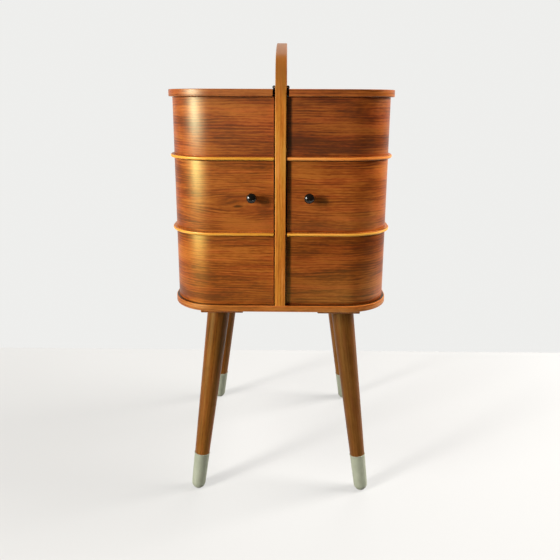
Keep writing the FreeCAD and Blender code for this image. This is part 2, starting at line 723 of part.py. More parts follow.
lower_block = make_fixed_pivot_block(bottom_rim - PIVOT_BLOCK_HEIGHT, bottom_rim)
upper_block = make_fixed_pivot_block(tray_floor_top, tray_floor_top + PIVOT_BLOCK_HEIGHT)
save("lower_pivot_blocks", lower_block, mirrored(lower_block))
save("upper_pivot_blocks", upper_block, mirrored(upper_block))
save("pivot_rods", make_rod(), mirrored(make_rod()))
washers = [make_washer(bottom_rim), make_washer(tray_bottom - WASHER_THICKNESS)]
save("pivot_washers", *washers, *[mirrored(washer) for washer in washers])
save("drawer_stops", make_drawer_stop(), mirrored(make_drawer_stop()))

save_pair("drawer_floor", make_drawer_floor())
save_pair("drawer_wall", make_drawer_wall())
save_pair("drawer_inner_wall", make_drawer_inner_wall())
save_pair("drawer_pivot_block", make_drawer_pivot_block())
save_pair("drawer_divider", make_divider(inner_end + DRAWER_INNER_WALL, DRAWER_DIVIDER_Y,
                                         drawer_floor_top, drawer_rim))
save_pair("knob", make_knob())
save_pair("knob_screw", screw(knob_screw_head(), Vector(0, -1, 0), KNOB_SCREW))

save_pair("lid", make_lid())
save_pair("hinge_fixed_leaf", make_leaf(half_panel, fixed_leaf_screws(), 0))
save_pair("hinge_lid_leaf", make_leaf(lid_inner - LEAF, lid_leaf_screws(), 1))
save("hinge_pins", make_hinge_pin(), mirrored(make_hinge_pin()))
save("hinge_fixed_screws", *both_sides(fixed_leaf_screws()))
lid_screws = [screw(point, way, size) for point, way, size in lid_leaf_screws()]
save("lid_hinge_screws_right", *lid_screws)
save("lid_hinge_screws_left", *[mirrored(one) for one in lid_screws])
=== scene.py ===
"""Looks of the sewing box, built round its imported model.

Metres, in the model's own frame: +Z is up, the knobs face -Y and the floor is at z = 0.
Geometry Nodes sweep what follows a path (the bent walls and the hoop) and place what repeats
(screws and hinge knuckles). Legs, caps and knobs are turned from a profile, and the lids and the
base board are built up from their outline. The other solids keep the model's shape and get a finish.
"""

import math

import bpy
from mathutils import Matrix, Vector


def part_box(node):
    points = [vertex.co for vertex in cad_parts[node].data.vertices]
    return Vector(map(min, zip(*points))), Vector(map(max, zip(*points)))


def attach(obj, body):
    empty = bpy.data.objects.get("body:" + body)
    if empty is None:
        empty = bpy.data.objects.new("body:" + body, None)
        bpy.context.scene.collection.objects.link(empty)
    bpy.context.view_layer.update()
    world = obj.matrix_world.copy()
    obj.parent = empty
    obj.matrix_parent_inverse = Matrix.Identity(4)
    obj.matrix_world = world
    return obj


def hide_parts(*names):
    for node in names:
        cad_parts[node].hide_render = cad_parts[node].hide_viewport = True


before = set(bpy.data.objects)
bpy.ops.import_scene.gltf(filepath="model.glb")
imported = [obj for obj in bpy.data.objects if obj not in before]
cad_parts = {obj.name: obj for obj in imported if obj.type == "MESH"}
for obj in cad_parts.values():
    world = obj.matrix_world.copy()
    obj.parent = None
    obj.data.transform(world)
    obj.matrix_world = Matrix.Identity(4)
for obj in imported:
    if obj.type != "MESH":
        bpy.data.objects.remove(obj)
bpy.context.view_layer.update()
MM = 0.001
SIDES = {"left": -1, "right": 1}

# ---------------- small helpers


def screw_size(*millimetres):
    """Length, shank radius, head radius and countersink depth."""
    return [size * MM for size in millimetres]


def evenly(first, last, count):
    """Evenly spaced values from first to last."""
    return [first + (last - first) * i / (count - 1) for i in range(count)]


def arc(centre, radius, first, last, count):
    """Points of an arc from one angle to another, as pairs."""
    return [(centre[0] + radius * math.cos(turn), centre[1] + radius * math.sin(turn))
            for turn in evenly(first, last, count)]


# ---------------- sizes that the boxes don't give
CORNER_RADIUS = 62.0 * MM       # of the walls, outside
WALL = 4.5 * MM
PIVOT_INSET = 12.0 * MM         # of a drawer's rod from the wall's outer face
PLY_EASE = 0.5 * MM             # softened edges of the walls
FACE_VENEER = 0.7 * MM
GLUE_LINE = 0.05 * MM
LID_LIP = 5.4 * MM
BASE_LIP = 3.8 * MM
BOARD_ROUND = 1.2 * MM          # rounded edges of the lids and the base board
BOARD_EASE = 0.3 * MM           # softened edges where a lid meets its hinge
FLOOR_VENEER_SHADE_LINE = 0.9 * MM         # dark line along the top of a floor's rim: its face veneer, and painted shade on the top of the edge
HOOP_THICKNESS = 8.5 * MM
HOOP_SHOULDER_RADIUS = 50.0 * MM
HOOP_EASE = 0.9 * MM
HOOP_PLIES = 6
CROWN_DARK_HALF_LENGTH = 240.0 * MM   # of the darker, browner stretch round the crown
LEG_TOP_RADIUS = 17.5 * MM
LEG_FOOT_RADIUS = 10.5 * MM
LEG_IN_CAP = 4.0 * MM           # how far the wood is drawn on below the cap's mouth
LEG_ANGLE = 6.9557              # lean of a leg in degrees, seen from the front and from the side
FOOT_CENTRE_HEIGHT = 9.4 * MM
CAP_LENGTH = 50.5 * MM
CAP_PROUD = 0.4 * MM
CAP_RIM = 1.1 * MM              # height of the bead round the cap's mouth
CAP_RIM_PROUD = 0.45 * MM
CAP_MOUTH_LIP = 1.2 * MM        # flat ring inside the bead
KNOB_RADIUS = 7.1 * MM
KNOB_EDGE_RADIUS = 4.2 * MM
KNOB_DOME_ANGLE = 66.0          # where the rim passes into the face, in degrees from its widest line
KNOB_UNDER_ANGLE = 78.0         # where the neck meets the rim
KNOB_WAIST_RADIUS = 3.4 * MM
KNOB_FOOT_RADIUS = 4.8 * MM
FELT_EASE = 0.6 * MM
HINGE_LEAF = 1.75 * MM
HINGE_BARREL_RADIUS = 2.3 * MM
HINGE_SCREW_SINK = 0.15 * MM    # their domed heads stay clear of the other leaf
HINGE_SCREW_COUNT = 6
KNUCKLE_COUNT = 21
KNUCKLE_GAP = 0.3 * MM
CLEAT_SCREW_END = 14.0 * MM     # from a cleat's end to its first screw
CLEAT_SCREW_EDGE = 7.0 * MM
CLEAT_SCREW = screw_size(18.0, 1.9, 3.8, 2.4)
HOOP_SCREW = screw_size(30.0, 1.6, 3.2, 2.0)
PANEL_SCREW = screw_size(38.0, 2.0, 4.0, 2.6)
INNER_WALL_SCREW = screw_size(12.0, 1.5, 3.0, 1.9)
KNOB_SCREW = screw_size(13.0, 1.7, 3.4, 1.6)
HINGE_SCREW = screw_size(6.5, 0.9, 1.8, 0.8)

SMOOTH_ANGLE = math.radians(20)  # faces that meet at more than this keep a sharp edge
TURNED_STEPS = 56
KNOB_STEPS = 48
SCREW_STEPS = 20
PLAN_STEPS = 20                 # in a board's round corner
BOARD_EDGE_STEPS = 4

# ---------------- wood: its dark, middle and pale tones, its grain and how it shines
TEAK = ((0.140, 0.027, 0.005), (0.290, 0.062, 0.008), (0.440, 0.125, 0.018))
TEAK_DARK = ((0.095, 0.018, 0.004), (0.224, 0.046, 0.006), (0.360, 0.095, 0.014))
TEAK_RED = ((0.100, 0.020, 0.002), (0.260, 0.058, 0.004), (0.380, 0.110, 0.010))
PLY_FACE = ((0.270, 0.130, 0.045), (0.400, 0.220, 0.085), (0.520, 0.315, 0.140))
PLY_CORE = ((0.200, 0.095, 0.032), (0.300, 0.155, 0.058), (0.400, 0.225, 0.095))
EDGE_WOOD = ((0.152, 0.031, 0.004), (0.296, 0.070, 0.009), (0.405, 0.117, 0.020))
EDGE_DARK = ((0.160, 0.035, 0.004), (0.318, 0.077, 0.009), (0.440, 0.130, 0.020))
BASE_WOOD = ((0.202, 0.056, 0.006), (0.374, 0.107, 0.012), (0.485, 0.163, 0.027))
GOLD_WOOD = ((0.620, 0.245, 0.018), (0.820, 0.375, 0.040), (0.900, 0.490, 0.080))
DULL_GOLD_WOOD = ((0.560, 0.160, 0.022), (0.790, 0.250, 0.042), (0.880, 0.355, 0.078))
HOOP_WOOD = ((0.370, 0.110, 0.009), (0.570, 0.205, 0.020), (0.690, 0.300, 0.050))
# dark tones for the base board's top face: painted shade where the lip sits under the walls
SHADED_WOOD = ((0.020, 0.006, 0.001), (0.055, 0.015, 0.002), (0.100, 0.030, 0.004))
LEG_WOOD = ((0.068, 0.020, 0.002), (0.180, 0.058, 0.006), (0.268, 0.105, 0.017))
LEG_DARK = ((0.050, 0.015, 0.002), (0.132, 0.044, 0.006), (0.200, 0.082, 0.016))
RUDDY_TINT = (1.10, 0.80, 1.15)
GLUE_BROWN = (0.10, 0.035, 0.010)
CROWN_BROWN = (0.205, 0.066, 0.013)
SATIN = 0.5                     # specular level of the lacquer
AMBER = (1.0, 0.90, 0.45, 1.0)  # tint of its gloss
TIER_GLOSS = {"tray": (0.95, 1.0, 0.58, 1.0), "drawer": (1.0, 0.95, 0.32, 1.0),
              "bottom": (1.0, 0.90, 0.22, 1.0)}
LID_EDGE_GLOSS = (0.90, 1.0, 0.70, 1.0)
LEG_GLOSS = (1.0, 0.80, 0.30, 1.0)
GRAIN_RELIEF = 0.06 * MM
RING_SPACING = 3.9 * MM
RING_WOBBLE = 8.0               # radians by which noise sways the rings
KNOT = (50.0 * MM, 13.0 * MM)   # in the left drawer's front: along from its inner end, and below its middle
KNOT_REACH = (55.0 * MM, 19.0 * MM)
KNOT_PUSH = 17.0 * MM           # how far it parts the grain

# ---------------- camera and light
CAMERA_PLACE = Vector((9.83, -989.75, 615.0)) * MM
CAMERA_PITCH = 0.2443           # radians below level
CAMERA_YAW = -0.0125
CAMERA_ROLL = 0.0041
CAMERA_FOCAL = 589.7            # in pixels of the square image
CAMERA_CENTRE_ROW = 246.7       # row that the camera's axis meets
IMAGE_SIZE = 560
SENSOR = 36.0
ROOM_WHITE = (0.858, 0.858, 0.843)
ROOM_LIGHT = (0.035, 0.035, 0.035)
ROOM_FRONT = (0.09, 0.085, 0.08)
FLOOR_REAR = 0.395              # where the floor meets the wall behind it
FLOOR_FRONT = -0.9
FLOOR_SIDE = 1.6
FLOOR_WHITES = ((0.83, 0.82, 0.80), (0.87, 0.865, 0.845))
FLOOR_OWN_WHITE = 0.6           # share of its look that is its own white
FLOOR_SHADE = 0.35              # darkening of the rest, which is lit
FLOOR_BOUNCE = (0.12, 0.115, 0.105)
LAMP_TARGET = Vector((0.0, 0.0, 0.45))
# Name, azimuth, distance, height, width, tallness, power, colour, and whether a lamp lights things evenly
# and whether it shows in their gloss. Azimuth 0 is in front of the box and 90 to its right, in degrees.
LAMPS = (
    ("window_left", -53.0, 2.6, 1.05, 0.42, 0.9, 82.0, (1.0, 0.985, 0.95), True, True),
    ("high_left", -57.0, 1.5, 2.3, 0.5, 0.7, 27.0, (1.0, 0.985, 0.95), True, False),
    ("gloss_left", -47.0, 3.6, 0.62, 1.70, 1.0, 117.0, (1.0, 0.98, 0.92), False, True),
    ("glint_right", 14.6, 0.75, 0.03, 0.05, 0.05, 0.25, (1.0, 1.0, 1.0), False, True),
    ("high_right", 97.0, 1.7, 1.4, 1.0, 1.2, 84.0, (1.0, 0.98, 0.96), True, False),
    ("rear_wall", 165.0, 2.4, 1.3, 1.8, 1.2, 36.0, (1.0, 0.99, 0.98), True, False))


def in_scene(name, data):
    """New object in the scene that holds a mesh, a lamp or a camera."""
    holder = bpy.data.objects.new(name, data)
    bpy.context.scene.collection.objects.link(holder)
    return holder


# ---------------- node trees


def live(sockets):
    """The sockets that a node's settings leave in use."""
    return [socket for socket in sockets if socket.enabled]


class Nodes:
    """Short calls that add nodes to a tree. A value is a plain value or another node's output."""

    def __init__(self, tree):
        self.tree = tree

    def feed(self, socket, value):
        if isinstance(value, bpy.types.NodeSocket):
            self.tree.links.new(value, socket)
        else:
            socket.default_value = value

    def add(self, kind, inputs=None, **settings):
        node = self.tree.nodes.new(kind)
        for name, value in settings.items():
            setattr(node, name, value)
        for key, value in (inputs or {}).items():
            self.feed(node.inputs[key], value)
        return node

    def math(self, operation, *values, clamp=False):
        return self.add("ShaderNodeMath", dict(enumerate(values)),
                        operation=operation, use_clamp=clamp).outputs[0]

    def plus(self, first, second):
        return self.math("ADD", first, second)

    def minus(self, first, second):
        return self.math("SUBTRACT", first, second)

    def times(self, first, second):
        return self.math("MULTIPLY", first, second)

    def scaled(self, value, factor, offset):
        return self.math("MULTIPLY_ADD", value, factor, offset)

    def vector(self, x=0.0, y=0.0, z=0.0):
        return self.add("ShaderNodeCombineXYZ", {"X": x, "Y": y, "Z": z}).outputs[0]

    def split(self, vector):
        return self.add("ShaderNodeSeparateXYZ", {0: vector}).outputs[:]

    def combine(self, operation, *vectors):
        return self.add("ShaderNodeVectorMath", dict(enumerate(vectors)), operation=operation).outputs[0]

    def shape(self, kind, inputs=None, **settings):
        """First output of a geometry node."""
        return self.add("GeometryNode" + kind, inputs, **settings).outputs[0]

    def noise(self, vector, spans, detail=2.0, roughness=0.5, distortion=0.0):
        """Noise with features about as large as its spans along the axes, or as one span along all."""
        place = self.combine("DIVIDE", vector, spans if isinstance(spans, tuple) else (spans,) * 3)
        return self.add("ShaderNodeTexNoise", {"Vector": place, "Scale": 1.0, "Detail": detail,
                                               "Roughness": roughness, "Distortion": distortion}).outputs[0]

    def fibres(self, vector, length, width, *details):
        """Noise drawn out along X."""
        return self.noise(vector, (length, width, width), *details)

    def rise(self, value, low, high):
        """0 below low, 1 above high and smooth between them."""
        return self.add("ShaderNodeMapRange", {"Value": value, "From Min": low, "From Max": high},
                        interpolation_type="SMOOTHSTEP").outputs[0]

    def mix(self, share, first, second, blend="MIX"):
        node = self.add("ShaderNodeMix", data_type="RGBA", blend_type=blend)
        for socket, value in zip(live(node.inputs), (share, first, second)):
            if isinstance(value, tuple) and len(value) == 3:
                value = (*value, 1.0)
            self.feed(socket, value)
        return live(node.outputs)[0]

    def ramp(self, value, stops):
        """Colour ramp through (place, colour) stops."""
        node = self.add("ShaderNodeValToRGB", {"Fac": value})
        elements = node.color_ramp.elements
        elements[0].position, elements[1].position = stops[0][0], stops[-1][0]
        for place, colour in stops[1:-1]:
            elements.new(place)
        for element, (place, colour) in zip(elements, stops):
            element.color = (*colour, 1.0)
        return node.outputs[0]


def finished(name, build, bump, **shader):
    """Material from a function that returns a colour, a roughness and a height for its nodes."""
    material = bpy.data.materials.new(name)
    material.use_nodes = True
    nodes = Nodes(material.node_tree)
    surface = material.node_tree.nodes["Principled BSDF"]
    colour, roughness, height = build(nodes)
    nodes.feed(surface.inputs["Base Color"], colour)
    nodes.feed(surface.inputs["Roughness"], roughness)
    if height is not None:
        relief = nodes.add("ShaderNodeBump", {"Height": height, "Distance": bump, "Strength": 1.0})
        nodes.feed(surface.inputs["Normal"], relief.outputs[0])
    for socket, value in shader.items():
        surface.inputs[socket.replace("_", " ")].default_value = value
    return material


# ---------------- wood


def place_in_object(nodes):
    return nodes.add("ShaderNodeTexCoord").outputs["Object"]


def own_grain(nodes):
    """A piece's own (along, across, depth) in metres."""
    return nodes.add("ShaderNodeAttribute", attribute_name="grain").outputs["Vector"]


def solid_grain(axes):
    """Grain of a flat piece, from its place: axes names the direction along, across and through it."""
    def read(nodes):
        parts = dict(zip("XYZ", nodes.split(place_in_object(nodes))))
        return nodes.vector(*[parts[axis] for axis in axes])
    return read


def timber(nodes, grain, tones, seed, streak=9.0 * MM, wander=14.0 * MM, contrast=1.0, eye=None):
    """Colour and height of wood with long wavy streaks, fine threads and open pores.

    tones are the dark, middle and pale colours. An eye, at (along, across), parts the streaks round it.
    """
    dark, middle, pale = tones
    place = nodes.combine("ADD", grain, (0.613 * seed, 0.271 * seed, 0.149 * seed))
    lazy = nodes.noise(place, (190 * MM, 38 * MM, 60 * MM), 2.0)
    drift = nodes.times(nodes.minus(lazy, 0.5), wander)
    if eye:
        away = nodes.combine("SUBTRACT", grain, (*eye, 0.0))
        along, across = nodes.split(nodes.combine("DIVIDE", away, (*KNOT_REACH, 1.0)))[:2]
        reach = nodes.plus(nodes.times(along, along), nodes.times(across, across))
        bulge = nodes.math("EXPONENT", nodes.times(reach, -1.0))
        drift = nodes.plus(drift, nodes.times(nodes.times(across, bulge), -KNOT_PUSH))
    lines = nodes.combine("ADD", place, nodes.vector(0.0, drift))
    streaks = nodes.fibres(lines, 230 * MM, streak, 4.0, 0.58, 0.25)
    bands = nodes.fibres(lines, 420 * MM, 3.2 * streak, 1.0)
    figure = nodes.fibres(lines, 100 * MM, 3.8 * MM, 3.0, 0.6, 0.3)
    threads = nodes.fibres(lines, 60 * MM, 1.7 * MM, 2.0, 0.6)
    ripple = nodes.fibres(lines, 75 * MM, 11 * MM, 2.0)
    turn = nodes.times(nodes.split(lines)[1], math.tau / RING_SPACING)
    rings = nodes.scaled(nodes.math("SINE", nodes.scaled(ripple, RING_WOBBLE, turn)), 0.5, 0.5)
    flecks = nodes.fibres(lines, 9 * MM, 1.6 * MM, 1.0)
    hairs = nodes.fibres(lines, 20 * MM, 0.5 * MM, 2.0, 0.6)
    pores = nodes.rise(nodes.fibres(place, 7 * MM, 0.35 * MM, 1.0), 0.60, 0.70)
    cloud = nodes.fibres(lines, 95 * MM, 30 * MM, 2.0)
    blotch = nodes.rise(nodes.fibres(lines, 60 * MM, 9 * MM, 2.0), 0.56, 0.72)
    tone = nodes.scaled(blotch, -0.07 * contrast, 0.5)
    for part, share in ((streaks, 0.34), (bands, 0.45), (figure, 0.20), (threads, 0.78), (rings, 0.16),
                        (flecks, 0.40), (hairs, 0.25), (cloud, 1.0)):
        tone = nodes.scaled(nodes.minus(part, 0.5), share * contrast, tone)
    colour = nodes.ramp(tone, [(0.25, dark), (0.47, middle), (0.72, pale)])
    ruddy = nodes.rise(nodes.fibres(lines, 70 * MM, 7 * MM, 2.0), 0.42, 0.66)
    colour = nodes.mix(nodes.times(ruddy, 0.5), colour, RUDDY_TINT, "MULTIPLY")
    shade = tuple(0.45 * channel for channel in dark)
    colour = nodes.mix(nodes.times(pores, 0.35), colour, shade)
    if eye:
        reach = nodes.plus(reach, nodes.times(nodes.minus(threads, 0.5), 0.10))
        colour = nodes.mix(nodes.rise(reach, 0.024, -0.006), colour, shade)
    height = nodes.minus(nodes.plus(threads, nodes.times(hairs, 0.5)), nodes.times(pores, 0.15))
    return colour, height


def lacquered(name, grain, tones, seed, satin=SATIN, gloss=AMBER, **figure):
    """Wood under satin lacquer; the threads of the grain show through it as faint ridges."""
    def build(nodes):
        colour, height = timber(nodes, grain(nodes), tones, seed, **figure)
        return colour, nodes.scaled(height, 0.10, 0.33), height
    return finished(name, build, GRAIN_RELIEF, Specular_IOR_Level=satin, Specular_Tint=gloss)


def bent_ply(name, tones, seed, gloss, eye=None):
    """Bent wall: teak face outside, pale ply inside and thin layers in between, which its rims show."""
    def build(nodes):
        grain = own_grain(nodes)
        along, across, depth = nodes.split(grain)
        teak, ridges = timber(nodes, grain, tones, seed, eye=eye)
        inside = timber(nodes, grain, PLY_FACE, seed + 40, contrast=0.6)[0]
        core = timber(nodes, nodes.vector(across, along, depth), PLY_CORE, seed + 80, contrast=0.5)[0]
        joint = WALL / 2 - FACE_VENEER
        face = nodes.rise(depth, joint, joint + GLUE_LINE)
        back = nodes.rise(depth, GLUE_LINE - joint, -joint)
        colour = nodes.mix(face, nodes.mix(back, core, inside), teak)
        return colour, nodes.scaled(face, -0.14, 0.53), ridges
    return finished(name, build, GRAIN_RELIEF, Specular_IOR_Level=SATIN, Specular_Tint=gloss)


def hoop_wood(crown):
    """Light laminated strip, darker and browner round its crown; thin glue lines run along its sides."""
    def build(nodes):
        grain = own_grain(nodes)
        along, width, depth = nodes.split(grain)
        colour, height = timber(nodes, grain, HOOP_WOOD, 3.0, streak=3.5 * MM, wander=8 * MM, contrast=0.8)
        ply = nodes.math("FRACT", nodes.scaled(depth, HOOP_PLIES / HOOP_THICKNESS, 0.5))
        line = nodes.rise(nodes.math("ABSOLUTE", nodes.minus(ply, 0.5)), 0.43, 0.49)
        side = nodes.rise(nodes.math("ABSOLUTE", width), 5.5 * MM, 6.8 * MM)
        colour = nodes.mix(nodes.times(nodes.times(line, side), 0.45), colour, GLUE_BROWN)
        # the stretch round the crown is mixed towards a darker brown and is a little less rough
        from_crown = nodes.math("ABSOLUTE", nodes.minus(along, crown))
        crown_dark = nodes.rise(from_crown, CROWN_DARK_HALF_LENGTH, 0.75 * CROWN_DARK_HALF_LENGTH)
        colour = nodes.mix(nodes.times(crown_dark, 0.85), colour, CROWN_BROWN)
        return colour, nodes.scaled(crown_dark, -0.05, 0.42), height
    return finished("hoop_teak", build, GRAIN_RELIEF, Specular_IOR_Level=0.3, Specular_Tint=AMBER)


# ---------------- other finishes


def cap_plastic():
    """Grey-green moulded plastic, a little chalky, with faint scuffs."""
    def build(nodes):
        place = place_in_object(nodes)
        cloud = nodes.noise(place, (16 * MM, 16 * MM, 22 * MM), 3.0)
        scuff = nodes.rise(nodes.noise(place, (2.2 * MM, 2.2 * MM, 9 * MM), 4.0, 0.7), 0.60, 0.72)
        colour = nodes.ramp(cloud, [(0.3, (0.280, 0.300, 0.215)), (0.7, (0.345, 0.362, 0.268))])
        colour = nodes.mix(nodes.times(scuff, 0.35), colour, (0.20, 0.205, 0.15))
        height = nodes.noise(place, 0.7 * MM, 2.0)
        return colour, nodes.scaled(scuff, 0.18, 0.42), height
    return finished("cap_plastic", build, bump=0.02 * MM)


def knob_black():
    """Polished black, with dust and hair scratches that only show in the gloss."""
    def build(nodes):
        place = place_in_object(nodes)
        smear = nodes.noise(place, 6 * MM, 3.0)
        scratch = nodes.rise(nodes.noise(place, (0.25 * MM, 5 * MM, 0.25 * MM), 2.0), 0.62, 0.70)
        colour = nodes.mix(smear, (0.004, 0.003, 0.002), (0.009, 0.006, 0.004))
        dull = nodes.scaled(smear, 0.06, 0.12)
        return colour, nodes.scaled(scratch, 0.15, dull), smear
    return finished("knob_black", build, bump=0.01 * MM, Specular_IOR_Level=0.35)


def black_steel():
    """Blackened steel, rubbed browner on its high spots."""
    def build(nodes):
        place = place_in_object(nodes)
        cloud = nodes.noise(place, 9 * MM, 3.0)
        rub = nodes.rise(nodes.noise(place, (1.2 * MM, 6 * MM, 1.2 * MM), 4.0, 0.7), 0.58, 0.74)
        colour = nodes.mix(cloud, (0.008, 0.007, 0.007), (0.018, 0.016, 0.015))
        colour = nodes.mix(nodes.times(rub, 0.5), colour, (0.060, 0.045, 0.035))
        return colour, nodes.scaled(cloud, 0.20, 0.38), rub
    return finished("hinge_black", build, bump=0.02 * MM, Specular_IOR_Level=0.15)


def plain_steel():
    """Zinc-plated steel with a fine brushed grain and dull patches."""
    def build(nodes):
        place = place_in_object(nodes)
        brushed = nodes.noise(place, (0.15 * MM, 0.15 * MM, 5 * MM), 2.0)
        patch = nodes.noise(place, 5 * MM, 3.0)
        colour = nodes.ramp(patch, [(0.3, (0.34, 0.33, 0.31)), (0.7, (0.52, 0.51, 0.49))])
        return colour, nodes.scaled(patch, 0.3, 0.20), brushed
    return finished("plain_steel", build, bump=0.01 * MM, Metallic=1.0)


def felt():
    """Brown felt: matted fibres with a soft nap."""
    def build(nodes):
        place = place_in_object(nodes)
        mat = nodes.noise(place, 0.5 * MM, 5.0, 0.75, 0.6)
        tuft = nodes.noise(place, 3 * MM, 2.0)
        colour = nodes.ramp(mat, [(0.3, (0.050, 0.022, 0.012)), (0.7, (0.125, 0.062, 0.036))])
        colour = nodes.mix(nodes.times(tuft, 0.3), colour, (0.16, 0.085, 0.05))
        return colour, 0.95, mat
    return finished("stop_felt", build, bump=0.25 * MM, Sheen_Weight=0.5, Sheen_Roughness=0.6)


# ---------------- Geometry Nodes


def new_tree(name, sockets):
    """Geometry Nodes tree with a geometry input and output and the named inputs."""
    tree = bpy.data.node_groups.new(name, "GeometryNodeTree")
    tree.interface.new_socket("Geometry", in_out="INPUT", socket_type="NodeSocketGeometry")
    tree.interface.new_socket("Geometry", in_out="OUTPUT", socket_type="NodeSocketGeometry")
    for label, kind in sockets.items():
        tree.interface.new_socket(label, in_out="INPUT", socket_type="NodeSocket" + kind)
    nodes = Nodes(tree)
    given = {socket.name: socket for socket in nodes.add("NodeGroupInput").outputs if socket.name}
    return tree, nodes, given


def close_tree(nodes, geometry, finish):
    """End a tree: real geometry, then its material."""
    real = nodes.shape("RealizeInstances", {"Geometry": geometry})
    painted = nodes.shape("SetMaterial", {"Geometry": real, "Material": finish})
    nodes.add("NodeGroupOutput", {"Geometry": painted})


def captured(nodes, geometry, kind, value):
    """Keep a value on geometry's points; gives the geometry and the kept value."""
    node = nodes.add("GeometryNodeCaptureAttribute", {"Geometry": geometry})
    node.capture_items.new(kind, "kept")
    nodes.feed(node.inputs[1], value)
    return node.outputs[0], node.outputs[1]


def strip_tree():
    """Sweeps a soft-edged rectangle along a path of edges; the points' bend is the corner radius there.

    Plane is square to the plane that the path bends in. The sweep leaves each point its
    (along, upright, across) in the strip as the attribute grain, with across growing outward.
    """
    tree, nodes, given = new_tree("bent_strip", {
        "Plane": "Vector", "Across": "Float", "Upright": "Float", "Edge Ease": "Float",
        "Corner Steps": "Int", "Ease Steps": "Int", "Finish": "Material"})
    path = nodes.shape("MeshToCurve", {"Mesh": given["Geometry"]})
    bend = nodes.shape("InputNamedAttribute", {"Name": "bend"}, data_type="FLOAT")
    path = nodes.shape("FilletCurve", {"Curve": path, "Count": given["Corner Steps"], "Radius": bend},
                       mode="POLY")
    path = nodes.shape("SetCurveNormal", {"Curve": path, "Normal": given["Plane"]}, mode="FREE")
    length = nodes.add("GeometryNodeSplineParameter").outputs["Length"]
    path, along = captured(nodes, path, "FLOAT", length)
    section = nodes.shape("CurvePrimitiveQuadrilateral",
                          {"Width": given["Upright"], "Height": given["Across"]})
    section = nodes.shape("FilletCurve", {"Curve": section, "Count": given["Ease Steps"],
                                          "Radius": given["Edge Ease"]}, mode="POLY")
    section, spot = captured(nodes, section, "VECTOR", nodes.shape("InputPosition"))
    swept = nodes.shape("CurveToMesh", {"Curve": path, "Profile Curve": section, "Fill Caps": True})
    upright, across = nodes.split(spot)[:2]
    grain = nodes.vector(along, upright, across)
    stored = nodes.add("GeometryNodeStoreNamedAttribute", {"Geometry": swept, "Name": "grain"},
                       data_type="FLOAT_VECTOR", domain="POINT")
    nodes.feed(next(s for s in live(stored.inputs) if s.name == "Value"), grain)
    close_tree(nodes, stored.outputs[0], given["Finish"])
    return tree


def screw_tree():
    """Puts a screw head on each point, facing along the point's aim and turned at random."""
    tree, nodes, given = new_tree("screw_heads", {"Head": "Object", "Seed": "Int", "Finish": "Material"})
    aim = nodes.add("GeometryNodeInputNamedAttribute", {"Name": "aim"}, data_type="FLOAT_VECTOR")
    turn = nodes.add("FunctionNodeRandomValue", data_type="FLOAT")
    for socket, value in zip(live(turn.inputs), (0.0, math.tau)):
        nodes.feed(socket, value)
    nodes.feed(turn.inputs["Seed"], given["Seed"])
    spin = live(turn.outputs)[0]
    rolled = nodes.add("FunctionNodeEulerToRotation", {0: nodes.vector(0.0, 0.0, spin)}).outputs[0]
    facing = nodes.add("FunctionNodeAlignRotationToVector",
                       {"Rotation": rolled, "Vector": live(aim.outputs)[0]}, axis="Z").outputs[0]
    head = nodes.add("GeometryNodeObjectInfo", {"Object": given["Head"]}).outputs["Geometry"]
    placed = nodes.shape("InstanceOnPoints",
                         {"Points": given["Geometry"], "Instance": head, "Rotation": facing})
    close_tree(nodes, placed, given["Finish"])
    return tree


def knuckle_tree():
    """Adds a row of knuckles to a hinge leaf."""
    tree, nodes, given = new_tree("hinge_knuckles", {
        "Count": "Int", "First": "Vector", "Step": "Vector", "Knuckle": "Object", "Finish": "Material"})
    row = nodes.shape("MeshLine", {"Count": given["Count"], "Start Location": given["First"],
                                   "Offset": given["Step"]})
    barrel = nodes.add("GeometryNodeObjectInfo", {"Object": given["Knuckle"]}).outputs["Geometry"]
    placed = nodes.shape("InstanceOnPoints", {"Points": row, "Instance": barrel})
    joined = nodes.add("GeometryNodeJoinGeometry")
    for part in (given["Geometry"], placed):
        nodes.tree.links.new(part, joined.inputs[0])
    close_tree(nodes, joined.outputs[0], given["Finish"])
    return tree


def grown(piece, tree, **values):
    """Run a Geometry Nodes tree on a piece and keep the result as its plain mesh."""
    names = {item.name: item.identifier for item in tree.interface.items_tree if item.in_out == "INPUT"}
    modifier = piece.modifiers.new(tree.name, "NODES")
    modifier.node_group = tree
    for label, value in values.items():
        modifier[names[label.replace("_", " ")]] = value
    as_plain_mesh(piece)


def as_plain_mesh(piece):
    """Keep what a piece's modifiers make, and drop the modifiers."""
    depsgraph = bpy.context.evaluated_depsgraph_get()
    mesh = bpy.data.meshes.new_from_object(piece.evaluated_get(depsgraph), preserve_all_data_layers=True,
                                           depsgraph=depsgraph)
    piece.modifiers.clear()
    old, piece.data = piece.data, mesh
    bpy.data.meshes.remove(old)


# ---------------- pieces


def new_piece(name, points, faces=(), edges=()):
    mesh = bpy.data.meshes.new(name)
    mesh.from_pydata([tuple(point) for point in points], list(edges), list(faces))
    return in_scene(name, mesh)


def with_values(piece, name, kind, values):
    """Give a piece's points an attribute: plain numbers, or vectors."""
    attribute = piece.data.attributes.new(name, kind, "POINT")
    flat = [part for value in values for part in (value if kind == "FLOAT_VECTOR" else (value,))]
    attribute.data.foreach_set("vector" if kind == "FLOAT_VECTOR" else "value", flat)
    return piece


def dressed(piece, body, slot, *nodes):
    """Last steps of a piece: its shading, its body and the nodes that it stands for. Its slot is not used.
    """
    piece.data.shade_smooth()
    piece.data.set_sharp_from_angle(angle=SMOOTH_ANGLE)
    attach(piece, body)
    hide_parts(*nodes)


